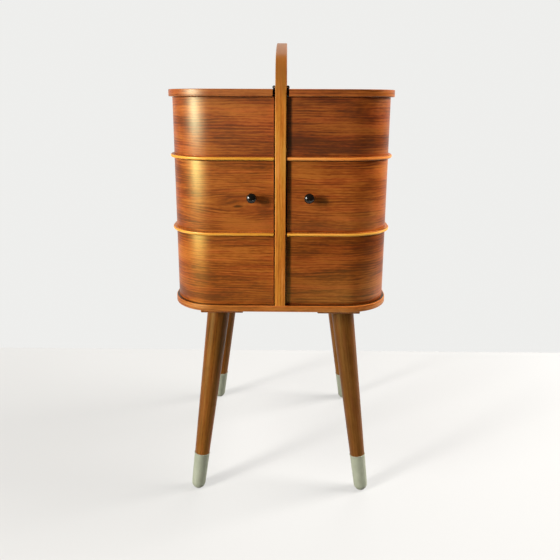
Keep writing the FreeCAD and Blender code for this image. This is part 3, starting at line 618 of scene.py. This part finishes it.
def loft(name, rings, materials=(), kinds=None):
    """Closed solid through rings of equally many points; kinds picks a material for each stretch."""
    count = len(rings[0])
    points = [point for ring in rings for point in ring]
    faces = [tuple(reversed(range(count)))]
    for level in range(len(rings) - 1):
        low, high = level * count, (level + 1) * count
        faces += [(low + i, low + (i + 1) % count, high + (i + 1) % count, high + i) for i in range(count)]
    faces.append(tuple(range((len(rings) - 1) * count, len(rings) * count)))
    piece = new_piece(name, points, faces)
    for material in materials:
        if material:
            piece.data.materials.append(material)
    if kinds:
        marks = [kinds[0]] + [kind for kind in kinds[1:-1] for i in range(count)] + [kinds[-1]]
        piece.data.polygons.foreach_set("material_index", marks)
    return piece


def turned(name, profile, foot, head, material, steps=TURNED_STEPS):
    """Solid of revolution round the line from foot to head, from (radius, distance) pairs."""
    up = (head - foot).normalized()
    turn = Vector((0, 0, 1)).rotation_difference(up).to_matrix()
    rings, grain = [], []
    for radius, distance in profile:
        ring = []
        for i in range(steps):
            angle = math.tau * i / steps
            flat = Vector((radius * math.cos(angle), radius * math.sin(angle), distance))
            ring.append(foot + turn @ flat)
            grain.append((distance, flat.x, flat.y))
        rings.append(ring)
    piece = loft(name, rings, [material])
    return with_values(piece, "grain", "FLOAT_VECTOR", grain)


def rounded_plan(x1, x2, y1, y2, radii, insets, height):
    """Points round a rectangle with its four corner radii, moved in at a height.

    The first inset is for round corners and for the sides that face Y; the second is for square ends.
    """
    points = []
    corners = ((x1, y1, 1, 1), (x2, y1, -1, 1), (x2, y2, -1, -1), (x1, y2, 1, -1))
    for number, (radius, (x, y, inward_x, inward_y)) in enumerate(zip(radii, corners)):
        inset_x = insets[0] if radius else insets[1]
        x, y = x + inward_x * inset_x, y + inward_y * insets[0]
        if not radius:
            points.append(Vector((x, y, height)))
            continue
        bend = radius - insets[0]
        start = math.pi * (1 + number / 2)
        middle = (x + inward_x * bend, y + inward_y * bend)
        points += [Vector((*spot, height))
                   for spot in arc(middle, bend, start, start + math.pi / 2, PLAN_STEPS + 1)]
    return points


def make_board(name, node, body, side, radius, finishes):
    """Board with a rounded outline and rounded edges; finishes are for its underside, edge and top.

    Side is 1 or -1 for a half board with a square inner end, and 0 for a whole one. Its attribute grain
    runs front to rear on the faces and round the outline on the edge.
    """
    low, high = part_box(node)
    if side:
        inner, outer = sorted((abs(low.x), abs(high.x)))
        plan = (inner, outer, low.y, high.y, (0, radius, radius, 0))
    else:
        plan = (low.x, high.x, low.y, high.y, (radius,) * 4)
    levels = [(1 - math.sin(turn), low.z + BOARD_ROUND * (1 - math.cos(turn)))
              for turn in evenly(0.0, math.pi / 2, BOARD_EDGE_STEPS + 1)]
    levels += [(share, low.z + high.z - height) for share, height in reversed(levels)]
    rings = [rounded_plan(*plan, (share * BOARD_ROUND, share * BOARD_EASE), height)
             for share, height in levels]
    if side < 0:
        rings = [[Vector((-point.x, point.y, point.z)) for point in reversed(ring)] for ring in rings]
    count = len(rings[0])
    kinds = [0] + [1] * (len(rings) - 1) + [2]
    piece = loft(name, rings, finishes, kinds)
    outline = rings[len(rings) // 2]
    round_it = [0.0]
    for i in range(count):
        round_it.append(round_it[-1] + (outline[(i + 1) % count] - outline[i]).length)
    grain = piece.data.attributes.new("grain", "FLOAT_VECTOR", "CORNER")
    flat = []
    for face in piece.data.polygons:
        if len(face.vertices) > 4:
            points = [piece.data.vertices[number].co for number in face.vertices]
            flat += [(point.y, point.x, point.z) for point in points]
        else:
            step = (face.index - 1) % count
            heights = [piece.data.vertices[number].co.z for number in face.vertices]
            flat += [(round_it[step + (corner in (1, 2))], height, 0.0)
                     for corner, height in enumerate(heights)]
    grain.data.foreach_set("vector", [part for value in flat for part in value])
    dressed(piece, body, "lid_veneer", node)


def slotted_screw(length, shank, head, depth):
    """Countersunk wood screw with a slotted, slightly domed head at the origin, its point downward."""
    crown = 0.12 * head
    profile = [(0.15 * shank, -length), (shank, -length + 2.5 * shank), (shank, -depth),
               (head, -0.06 * head), (head, 0.0), (0.8 * head, 0.6 * crown), (0.45 * head, 0.93 * crown)]
    steel = turned("wood_screw", profile, Vector((0, 0, -length)), Vector((0, 0, 1)), None, SCREW_STEPS)
    for point in steel.data.vertices:
        point.co.z += length
    half, floor = 0.11 * head, -0.35 * depth
    corners = [(1.2 * head * x, half * y) for x, y in ((-1, -1), (1, -1), (1, 1), (-1, 1))]
    slot = loft("screw_slot", [[(x, y, z) for x, y in corners] for z in (floor, 2 * head)])
    cut = steel.modifiers.new("slot", "BOOLEAN")
    cut.operation, cut.solver, cut.object = "DIFFERENCE", "EXACT", slot
    as_plain_mesh(steel)
    bpy.data.objects.remove(slot)
    return steel


def make_screws(node, body, places, size, seed, finish, tree):
    """One piece with a slotted screw at each (point, direction out of the surface)."""
    head = slotted_screw(*size)
    piece = new_piece(node + "_slotted", [point for point, aim in places])
    with_values(piece, "aim", "FLOAT_VECTOR", [aim for point, aim in places])
    grown(piece, tree, Head=head, Seed=seed, Finish=finish)
    bpy.data.objects.remove(head)
    dressed(piece, body, "plain_steel", node)


def path_piece(name, path, bends):
    """Bare path of edges with a bend radius at each point."""
    edges = [(i, i + 1) for i in range(len(path) - 1)]
    return with_values(new_piece(name, path, edges=edges), "bend", "FLOAT", bends)


# ---------------- walls and hoop


def wall_path(low, high, side, pivot=False):
    """Middle line of a wall from its front inner end round to the rear, with the bend at each point."""
    inner, outer = sorted((abs(low.x), abs(high.x)))
    front, rear, outer = low.y + WALL / 2, high.y - WALL / 2, outer - WALL / 2
    middle, bend = (low.z + high.z) / 2, CORNER_RADIUS - WALL / 2
    points = [(inner, front, 0.0), (outer, front, bend), (outer, rear, bend)]
    if pivot:
        points += [(inner + WALL / 2, rear, PIVOT_INSET - WALL / 2),
                   (inner + WALL / 2, high.y - PIVOT_INSET, 0.0)]
    else:
        points.append((inner, rear, 0.0))
    path = [Vector((side * x, y, middle)) for x, y, bend in points]
    return path, [bend for x, y, bend in points]


def make_wall(node, body, slot, side, finish, tree, pivot=False):
    low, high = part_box(node)
    piece = path_piece(node + "_bent_ply", *wall_path(low, high, side, pivot))
    grown(piece, tree, Plane=(0.0, 0.0, float(side)), Across=WALL, Upright=high.z - low.z,
          Edge_Ease=PLY_EASE, Corner_Steps=22, Ease_Steps=3, Finish=finish)
    dressed(piece, body, slot, node)


def hoop_path(low, high, lid_top):
    """Middle line of the hoop: up the front, over a flat arch with round shoulders and down the rear."""
    inset = HOOP_THICKNESS / 2
    centre = (low.y + high.y) / 2
    reach, rise = (high.y - low.y) / 2 - inset, high.z - lid_top - inset
    shoulder = HOOP_SHOULDER_RADIUS - inset
    crown = (reach ** 2 + rise ** 2 - 2 * reach * shoulder) / (2 * (rise - shoulder))
    lean = math.atan2(reach - shoulder, crown - rise)
    half = [(reach, low.z - lid_top)]
    half += arc((reach - shoulder, 0.0), shoulder, 0.0, math.pi / 2 - lean, 17)
    half += arc((0.0, rise - crown), crown, math.pi / 2 - lean, math.pi / 2, 23)[1:-1]
    whole = [(-y, z) for y, z in half] + [(0.0, rise)] + half[::-1]
    return [Vector((0.0, centre + y, lid_top + z)) for y, z in whole]


def make_hoop(tree):
    low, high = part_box("handle_hoop")
    path = hoop_path(low, high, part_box("lid_right")[1].z)
    finish = hoop_wood(sum((b - a).length for a, b in zip(path, path[1:])) / 2)
    piece = path_piece("handle_hoop_strip", path, [0.0] * len(path))
    grown(piece, tree, Plane=(-1.0, 0.0, 0.0), Across=HOOP_THICKNESS, Upright=high.x - low.x,
          Edge_Ease=HOOP_EASE, Corner_Steps=1, Ease_Steps=4, Finish=finish)
    dressed(piece, "frame", "hoop_wood", "handle_hoop")


# ---------------- legs and caps


def leg_line(node):
    """Foot centre, cut top and length of a leg's axis, from the boxes of its cap and of its own node."""
    low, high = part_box(node)
    x_side, y_side = (1 if low.x > 0 else -1), (1 if low.y > 0 else -1)
    cap_low, cap_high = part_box(node.replace("leg_", "leg_cap_"))
    ball = LEG_FOOT_RADIUS + CAP_PROUD
    foot = Vector((cap_high.x - ball if x_side > 0 else cap_low.x + ball,
                   cap_high.y - ball if y_side > 0 else cap_low.y + ball, FOOT_CENTRE_HEIGHT))
    lean = math.tan(math.radians(LEG_ANGLE))
    run = high.z - FOOT_CENTRE_HEIGHT
    along = Vector((-x_side * lean * run, -y_side * lean * run, run))
    return foot, foot + along, along.length


def leg_radius(distance, length):
    return LEG_FOOT_RADIUS + (LEG_TOP_RADIUS - LEG_FOOT_RADIUS) * distance / length


def make_leg(node, finish):
    foot, top, length = leg_line(node)
    marks = evenly(CAP_LENGTH - LEG_IN_CAP, length, 9)
    profile = [(leg_radius(mark, length), mark) for mark in marks]
    piece = turned(node + "_turned", profile, foot, top, finish)
    along = top - foot
    for point in piece.data.vertices[-TURNED_STEPS:]:
        point.co += along * (top.z - point.co.z) / along.z
    dressed(piece, "frame", "leg_wood", node)


def make_cap(place, finish):
    node = "leg_cap_" + place
    foot, top, length = leg_line("leg_" + place)
    ball = LEG_FOOT_RADIUS + CAP_PROUD
    profile = arc((0.0, 0.0), ball, -math.pi / 2, 0.0, 13)[1:]
    mouth = leg_radius(CAP_LENGTH, length) + CAP_PROUD
    profile.append((mouth - 0.02 * MM, CAP_LENGTH - CAP_RIM - 0.2 * MM))
    profile += [(mouth + CAP_RIM_PROUD * math.sin(turn), CAP_LENGTH - CAP_RIM * (1 + math.cos(turn)) / 2)
                for turn in evenly(0.0, math.pi, 7)]
    profile.append((mouth - CAP_MOUTH_LIP, CAP_LENGTH))
    piece = turned(node + "_moulding", profile, foot, top, finish)
    for point in piece.data.vertices:
        point.co.z = max(point.co.z, 0.0)
    dressed(piece, "frame", "cap_plastic", node)


# ---------------- knobs


def knob_profile(length):
    """Foot, hollow neck, round rim and gently domed face, as (radius, distance) pairs."""
    inset = KNOB_RADIUS - KNOB_EDGE_RADIUS
    dome, under = math.radians(KNOB_DOME_ANGLE), math.radians(-KNOB_UNDER_ANGLE)
    dome_radius = KNOB_EDGE_RADIUS + inset / math.cos(dome)
    dome_centre = length - dome_radius
    middle = dome_centre + inset * math.tan(dome)
    rim = arc((inset, middle), KNOB_EDGE_RADIUS, under, dome, 15)
    neck_radius, neck_length = rim[0]
    neck = []
    for share in evenly(0.0, 1.0, 10)[1:-1]:
        straight = KNOB_FOOT_RADIUS + (neck_radius - KNOB_FOOT_RADIUS) * share
        sag = straight - KNOB_WAIST_RADIUS
        neck.append((straight - sag * math.sin(math.pi * share), neck_length * share))
    face = arc((0.0, dome_centre), dome_radius, dome, math.pi / 2, 10)[1:-1]
    return [(KNOB_FOOT_RADIUS, 0.0)] + neck + rim + face


def make_knob(side_name, finish):
    node = "knob_" + side_name
    low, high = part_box(node)
    middle = (low + high) / 2
    foot, tip = Vector((middle.x, high.y, middle.z)), Vector((middle.x, low.y, middle.z))
    piece = turned(node + "_turned", knob_profile(high.y - low.y), foot, tip, finish, KNOB_STEPS)
    dressed(piece, "drawer_" + side_name, "knob_black", node)


# ---------------- hinges


def knuckle(length, near, far, drop):
    """One knuckle about the Y axis: a barrel that runs down into its leaf, which is near to far in X."""
    radius = HINGE_BARREL_RADIUS
    start = math.atan2(-math.sqrt(radius ** 2 - far ** 2), far)
    stop = math.atan2(-math.sqrt(radius ** 2 - near ** 2), near) + math.tau
    outline = [(near, -drop), (far, -drop)] + arc((0.0, 0.0), radius, start, stop, 21)
    rings = [[Vector((x, y, z)) for x, z in outline] for y in (length / 2, -length / 2)]
    return loft("hinge_knuckle", rings)


def hinge_leaf(side_name, side, kind, near, far, body, tree, finish):
    """Leaf with every second knuckle of the row; near and far are its faces in X on the right side."""
    node = "hinge_" + kind + "_leaf_" + side_name
    low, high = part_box(node)
    axis_x, axis_z = abs(low.x + high.x) / 2, high.z - HINGE_BARREL_RADIUS
    leaf_top = axis_z - HINGE_BARREL_RADIUS - KNUCKLE_GAP
    faces = sorted((side * near, side * far))
    ease = HINGE_LEAF / 5
    rings = [rounded_plan(*faces, low.y, high.y, (0, 0, 0, 0), (inset, inset), height)
             for inset, height in ((ease, low.z), (0.0, low.z + ease), (0.0, leaf_top))]
    piece = loft(node + "_steel", rings)
    pin_low, pin_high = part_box("hinge_pins")
    pitch = (pin_high.y - pin_low.y) / KNUCKLE_COUNT
    first = 0 if kind == "fixed" else 1
    count = (KNUCKLE_COUNT + 1) // 2 - first
    ends = sorted((side * (near - axis_x), side * (far - axis_x)))
    barrel = knuckle(pitch - KNUCKLE_GAP, *ends, axis_z - leaf_top)
    start = pin_low.y + (first + 0.5) * pitch
    grown(piece, tree, Count=count, First=(side * axis_x, start, axis_z), Step=(0.0, 2 * pitch, 0.0),
          Knuckle=barrel, Finish=finish)
    bpy.data.objects.remove(barrel)
    dressed(piece, body, "hinge_black", node)


def hinge_screw_places(x, way):
    """Screws down the middle of a leaf whose open face is at x."""
    low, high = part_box("hinge_fixed_leaf_right")
    leaf_top = high.z - 2 * HINGE_BARREL_RADIUS - KNUCKLE_GAP
    reach = (high.y - low.y) / 2 * (1 - 1 / HINGE_SCREW_COUNT)
    middle, height = (low.y + high.y) / 2, (low.z + leaf_top) / 2
    return [(Vector((x, y, height)), way)
            for y in evenly(middle - reach, middle + reach, HINGE_SCREW_COUNT)]


def make_hinges(row_tree, head_tree, black, steel):
    panel_face, lid_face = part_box("centre_panel")[1].x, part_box("lid_right")[0].x
    fixed_places = []
    for side_name, side in SIDES.items():
        lid_body = "lid_" + side_name
        hinge_leaf(side_name, side, "fixed", panel_face, panel_face + HINGE_LEAF, "frame", row_tree, black)
        hinge_leaf(side_name, side, "lid", lid_face - HINGE_LEAF, lid_face, lid_body, row_tree, black)
        depth = HINGE_LEAF - HINGE_SCREW_SINK
        fixed_places += hinge_screw_places(side * (panel_face + depth), Vector((side, 0, 0)))
        places = hinge_screw_places(side * (lid_face - depth), Vector((-side, 0, 0)))
        make_screws("lid_hinge_screws_" + side_name, lid_body, places, HINGE_SCREW, 11, steel, head_tree)
    make_screws("hinge_fixed_screws", "frame", fixed_places, HINGE_SCREW, 12, steel, head_tree)


# ---------------- felt strips


def make_felt_strips(tree):
    """Strips glued to the panel; their nap just touches the inner walls of the closed drawers."""
    low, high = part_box("drawer_stops")
    panel_face, wall_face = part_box("centre_panel")[1].x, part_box("drawer_inner_wall_right")[0].x
    middle, across = (panel_face + wall_face) / 2, wall_face - panel_face
    ends = [Vector((side * middle, (low.y + high.y) / 2, z))
            for side in SIDES.values() for z in (low.z, high.z)]
    piece = new_piece("drawer_stops_felt", ends, edges=[(0, 1), (2, 3)])
    with_values(piece, "bend", "FLOAT", [0.0] * len(ends))
    grown(piece, tree, Plane=(0.0, 1.0, 0.0), Across=across, Upright=high.y - low.y, Edge_Ease=FELT_EASE,
          Corner_Steps=1, Ease_Steps=3, Finish=felt())
    dressed(piece, "frame", "stop_felt", "drawer_stops")


# ---------------- screws in the wood


def make_wood_screws(tree, steel):
    """The slotted screws under the base board, inside the compartments and behind the knobs."""
    down = Vector((0, 0, -1))
    low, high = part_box("leg_cleat_right")
    columns = (low.x + CLEAT_SCREW_EDGE, high.x - CLEAT_SCREW_EDGE)
    rows = evenly(low.y + CLEAT_SCREW_END, high.y - CLEAT_SCREW_END, 4)
    places = [(Vector((side * x, y, low.z)), down)
              for side in SIDES.values() for x in columns for y in rows]
    make_screws("cleat_screws", "frame", places, CLEAT_SCREW, 21, steel, tree)

    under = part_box("base_board")[0].z
    for node, size, seed, count in (("hoop_screws", HOOP_SCREW, 22, 2),
                                    ("panel_screws", PANEL_SCREW, 23, 3)):
        low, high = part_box(node)
        rows = evenly(low.y + size[2], high.y - size[2], count)
        places = [(Vector((0.0, y, under)), down) for y in rows]
        make_screws(node, "frame", places, size, seed, steel, tree)

    low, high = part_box("inner_wall_screws")
    face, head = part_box("tray_inner_wall_right")[1].x, INNER_WALL_SCREW[2]
    rows = evenly(low.y + head, high.y - head, 3)
    places = [(Vector((side * face, y, z)), Vector((side, 0, 0)))
              for side in SIDES.values() for z in (low.z + head, high.z - head) for y in rows]
    make_screws("inner_wall_screws", "frame", places, INNER_WALL_SCREW, 24, steel, tree)

    for side_name in SIDES:
        node = "knob_screw_" + side_name
        low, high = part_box(node)
        places = [(Vector(((low.x + high.x) / 2, high.y, (low.z + high.z) / 2)), Vector((0, 1, 0)))]
        make_screws(node, "drawer_" + side_name, places, KNOB_SCREW, 25, steel, tree)


# ---------------- floor, lamps and camera


def seen_rays(nodes):
    """1 for rays from the camera, in gloss and through glass, and 0 for the light that falls on things."""
    path = nodes.add("ShaderNodeLightPath").outputs
    seen = nodes.plus(path["Is Camera Ray"], path["Is Glossy Ray"])
    return nodes.math("ADD", seen, path["Is Transmission Ray"], clamp=True)


def make_floor():
    """Pale floor: part of what the camera sees of it is its own white, and part is lit and shaded."""
    material = bpy.data.materials.new("studio_floor")
    material.use_nodes = True
    nodes = Nodes(material.node_tree)
    surface = material.node_tree.nodes["Principled BSDF"]
    seen = seen_rays(nodes)
    cloud = nodes.noise(place_in_object(nodes), 0.5, 2.0)
    white = nodes.mix(cloud, *FLOOR_WHITES)
    lit = nodes.mix(FLOOR_SHADE, white, (0.0, 0.0, 0.0))
    nodes.feed(surface.inputs["Base Color"], nodes.mix(seen, FLOOR_BOUNCE, lit))
    surface.inputs["Roughness"].default_value = 0.8
    glow = nodes.add("ShaderNodeEmission", {"Color": white, "Strength": 1.0}).outputs[0]
    gloss = nodes.add("ShaderNodeLightPath").outputs["Is Glossy Ray"]
    share = nodes.times(nodes.minus(seen, gloss), FLOOR_OWN_WHITE)
    blend = nodes.add("ShaderNodeMixShader", {0: share, 1: surface.outputs[0], 2: glow}).outputs[0]
    nodes.feed(material.node_tree.nodes["Material Output"].inputs["Surface"], blend)
    corners = [(-FLOOR_SIDE, FLOOR_FRONT), (FLOOR_SIDE, FLOOR_FRONT), (FLOOR_SIDE, FLOOR_REAR),
               (-FLOOR_SIDE, FLOOR_REAR)]
    floor = new_piece("studio_floor", [(x, y, 0.0) for x, y in corners], [(0, 1, 2, 3)])
    floor.data.materials.append(material)


def make_world():
    """Even light all round; the room itself shows as white, and in gloss its front part is dim."""
    world = bpy.data.worlds.new("room")
    bpy.context.scene.world = world
    world.use_nodes = True
    nodes = Nodes(world.node_tree)
    background = world.node_tree.nodes["Background"]
    way = nodes.split(nodes.add("ShaderNodeTexCoord").outputs["Generated"])[1]
    gloss = nodes.add("ShaderNodeLightPath").outputs["Is Glossy Ray"]
    front = nodes.times(nodes.rise(way, 0.85, 0.20), gloss)
    room = nodes.mix(front, ROOM_WHITE, ROOM_FRONT)
    nodes.feed(background.inputs["Color"], nodes.mix(seen_rays(nodes), ROOM_LIGHT, room))
    background.inputs["Strength"].default_value = 1.0


def make_lamp(name, azimuth, distance, height, width, tallness, power, colour, diffuse, gloss):
    lamp = bpy.data.lights.new(name, "AREA")
    lamp.shape = "RECTANGLE"
    lamp.size, lamp.size_y = width, tallness
    lamp.energy = power
    lamp.color = colour
    turn = math.radians(azimuth)
    place = Vector((distance * math.sin(turn), -distance * math.cos(turn), height))
    holder = in_scene(name, lamp)
    holder.location = place
    holder.rotation_euler = (LAMP_TARGET - place).to_track_quat("-Z", "Y").to_euler()
    holder.visible_diffuse, holder.visible_glossy = diffuse, gloss


def make_camera():
    lens = bpy.data.cameras.new("camera")
    lens.sensor_width = SENSOR
    lens.lens = CAMERA_FOCAL / IMAGE_SIZE * SENSOR
    lens.shift_y = (CAMERA_CENTRE_ROW - IMAGE_SIZE / 2) / IMAGE_SIZE
    lens.clip_start, lens.clip_end = 0.05, 20.0
    camera = in_scene("camera", lens)
    aim = Matrix.Rotation(-CAMERA_YAW, 4, "Z") @ Matrix.Rotation(math.pi / 2 - CAMERA_PITCH, 4, "X")
    camera.matrix_world = Matrix.Translation(CAMERA_PLACE) @ aim @ Matrix.Rotation(CAMERA_ROLL, 4, "Z")
    bpy.context.scene.camera = camera


# ---------------- finishes of the solids that stay


def board_finish(name, face_tones, rim_tones, seed):
    """Floor board in the model's own shape: grain along Y on its faces, and layers along its rim.

    The upper face's veneer shows as a dark line along the top of the rim; this line is also painted shade
    on the top of the edge.
    """
    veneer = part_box(name)[1].z - FLOOR_VENEER_SHADE_LINE

    def build(nodes):
        where = nodes.add("ShaderNodeTexCoord").outputs
        x, y, z = nodes.split(where["Object"])
        face, relief = timber(nodes, nodes.vector(y, x, z), face_tones, seed)
        rim = timber(nodes, nodes.vector(nodes.plus(x, y), z, z), rim_tones, seed + 30,
                     streak=1.6 * MM, wander=1.5 * MM, contrast=0.7)[0]
        # dark line at the top of the rim: the face veneer, and painted shade on the top of the edge
        rim = nodes.mix(nodes.rise(z, veneer - 0.3 * MM, veneer + 0.3 * MM), rim, EDGE_WOOD[1])
        upright = nodes.math("ABSOLUTE", nodes.split(where["Normal"])[2])
        flat = nodes.rise(upright, 0.75, 0.95)
        return nodes.mix(flat, rim, face), 0.42, nodes.times(relief, flat)
    return finished(name, build, GRAIN_RELIEF, Specular_IOR_Level=SATIN, Specular_Tint=AMBER)


def dress_cad_nodes():
    inner = lacquered("inner_wood_upright", solid_grain("YZX"), PLY_FACE, 31.0, contrast=0.6)
    across = lacquered("inner_wood_across", solid_grain("XZY"), PLY_FACE, 32.0, contrast=0.6)
    post = lacquered("inner_wood_post", solid_grain("ZXY"), PLY_FACE, 33.0, contrast=0.6)
    cleat = lacquered("cleat_teak", solid_grain("YXZ"), TEAK_RED, 34.0)
    panel = lacquered("panel_teak", solid_grain("YZX"), HOOP_WOOD, 35.0, contrast=0.8)
    steel = plain_steel()
    finishes = {"centre_panel": panel}
    for node in ("pivot_rods", "pivot_washers", "leg_bolts", "leg_inserts", "hinge_pins"):
        finishes[node] = steel
    for node in ("lower_pivot_blocks", "upper_pivot_blocks"):
        finishes[node] = post
    for number, side_name in enumerate(SIDES):
        finishes["leg_cleat_" + side_name] = cleat
        finishes["drawer_pivot_block_" + side_name] = post
        for node in ("bottom_inner_wall_", "tray_inner_wall_", "drawer_inner_wall_"):
            finishes[node + side_name] = inner
        for node in ("tray_divider_", "drawer_divider_"):
            finishes[node + side_name] = across
        for tier, node in enumerate(("tray_floor_", "drawer_floor_")):
            name = node + side_name
            rim_tones = DULL_GOLD_WOOD if name == "tray_floor_right" else GOLD_WOOD
            finishes[name] = board_finish(name, BASE_WOOD, rim_tones, 41.0 + 2 * tier + number)
    for node, finish in finishes.items():
        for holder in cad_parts[node].material_slots:
            holder.material = finish
    return steel


# ---------------- the box

steel = dress_cad_nodes()
black = black_steel()
strip, head_tree, row_tree = strip_tree(), screw_tree(), knuckle_tree()

dark_walls = ("tray_wall_right", "bottom_wall_right")
tiers = (("tray", "tray_wood"), ("drawer", "wall_veneer"), ("bottom", "wall_veneer"))
for number, (side_name, side) in enumerate(SIDES.items()):
    for tier, (part, slot) in enumerate(tiers):
        node = part + "_wall_" + side_name
        eye = KNOT if node == "drawer_wall_left" else None
        tones = TEAK_DARK if node in dark_walls else TEAK
        finish = bent_ply(node, tones, 1.0 + tier + 5 * number, TIER_GLOSS[part], eye)
        body = "drawer_" + side_name if part == "drawer" else "frame"
        make_wall(node, body, slot, side, finish, strip, pivot=part == "drawer")
    edge = lacquered("lid_edge_" + side_name, own_grain, (EDGE_WOOD, EDGE_DARK)[number], 51.0 + number,
                     gloss=LID_EDGE_GLOSS, streak=2.5 * MM, wander=2 * MM)
    top = lacquered("lid_veneer_" + side_name, own_grain, TEAK, 53.0 + number)
    under = lacquered("lid_under_" + side_name, own_grain, PLY_FACE, 55.0 + number, contrast=0.6)
    lid = "lid_" + side_name
    make_board(lid + "_board", lid, lid, side, CORNER_RADIUS + LID_LIP, (under, edge, top))
    make_knob(side_name, knob_black())
make_hoop(strip)
base_edge = lacquered("base_edge", own_grain, BASE_WOOD, 57.0, streak=2.5 * MM, wander=2 * MM)
base_face = lacquered("base_face", own_grain, TEAK_RED, 58.0)
# the base board's top face is painted dark as shade under the walls
base_top = lacquered("base_top", own_grain, SHADED_WOOD, 59.0)
make_board("base_board_panel", "base_board", "frame", 0, CORNER_RADIUS + BASE_LIP,
           (base_face, base_edge, base_top))
for number, place in enumerate(("front_left", "front_right", "rear_left", "rear_right")):
    tones = LEG_DARK if place == "front_right" else LEG_WOOD
    stain = lacquered("leg_wood_" + place, own_grain, tones, 61.0 + number, satin=0.25,
                      gloss=LEG_GLOSS, streak=5 * MM, wander=5 * MM, contrast=0.45)
    make_leg("leg_" + place, stain)
    make_cap(place, cap_plastic())
make_felt_strips(strip)
make_hinges(row_tree, head_tree, black, steel)
make_wood_screws(head_tree, steel)

make_floor()
make_world()
for lamp in LAMPS:
    make_lamp(*lamp)
make_camera()

bpy.context.scene.view_settings.view_transform = "Standard"
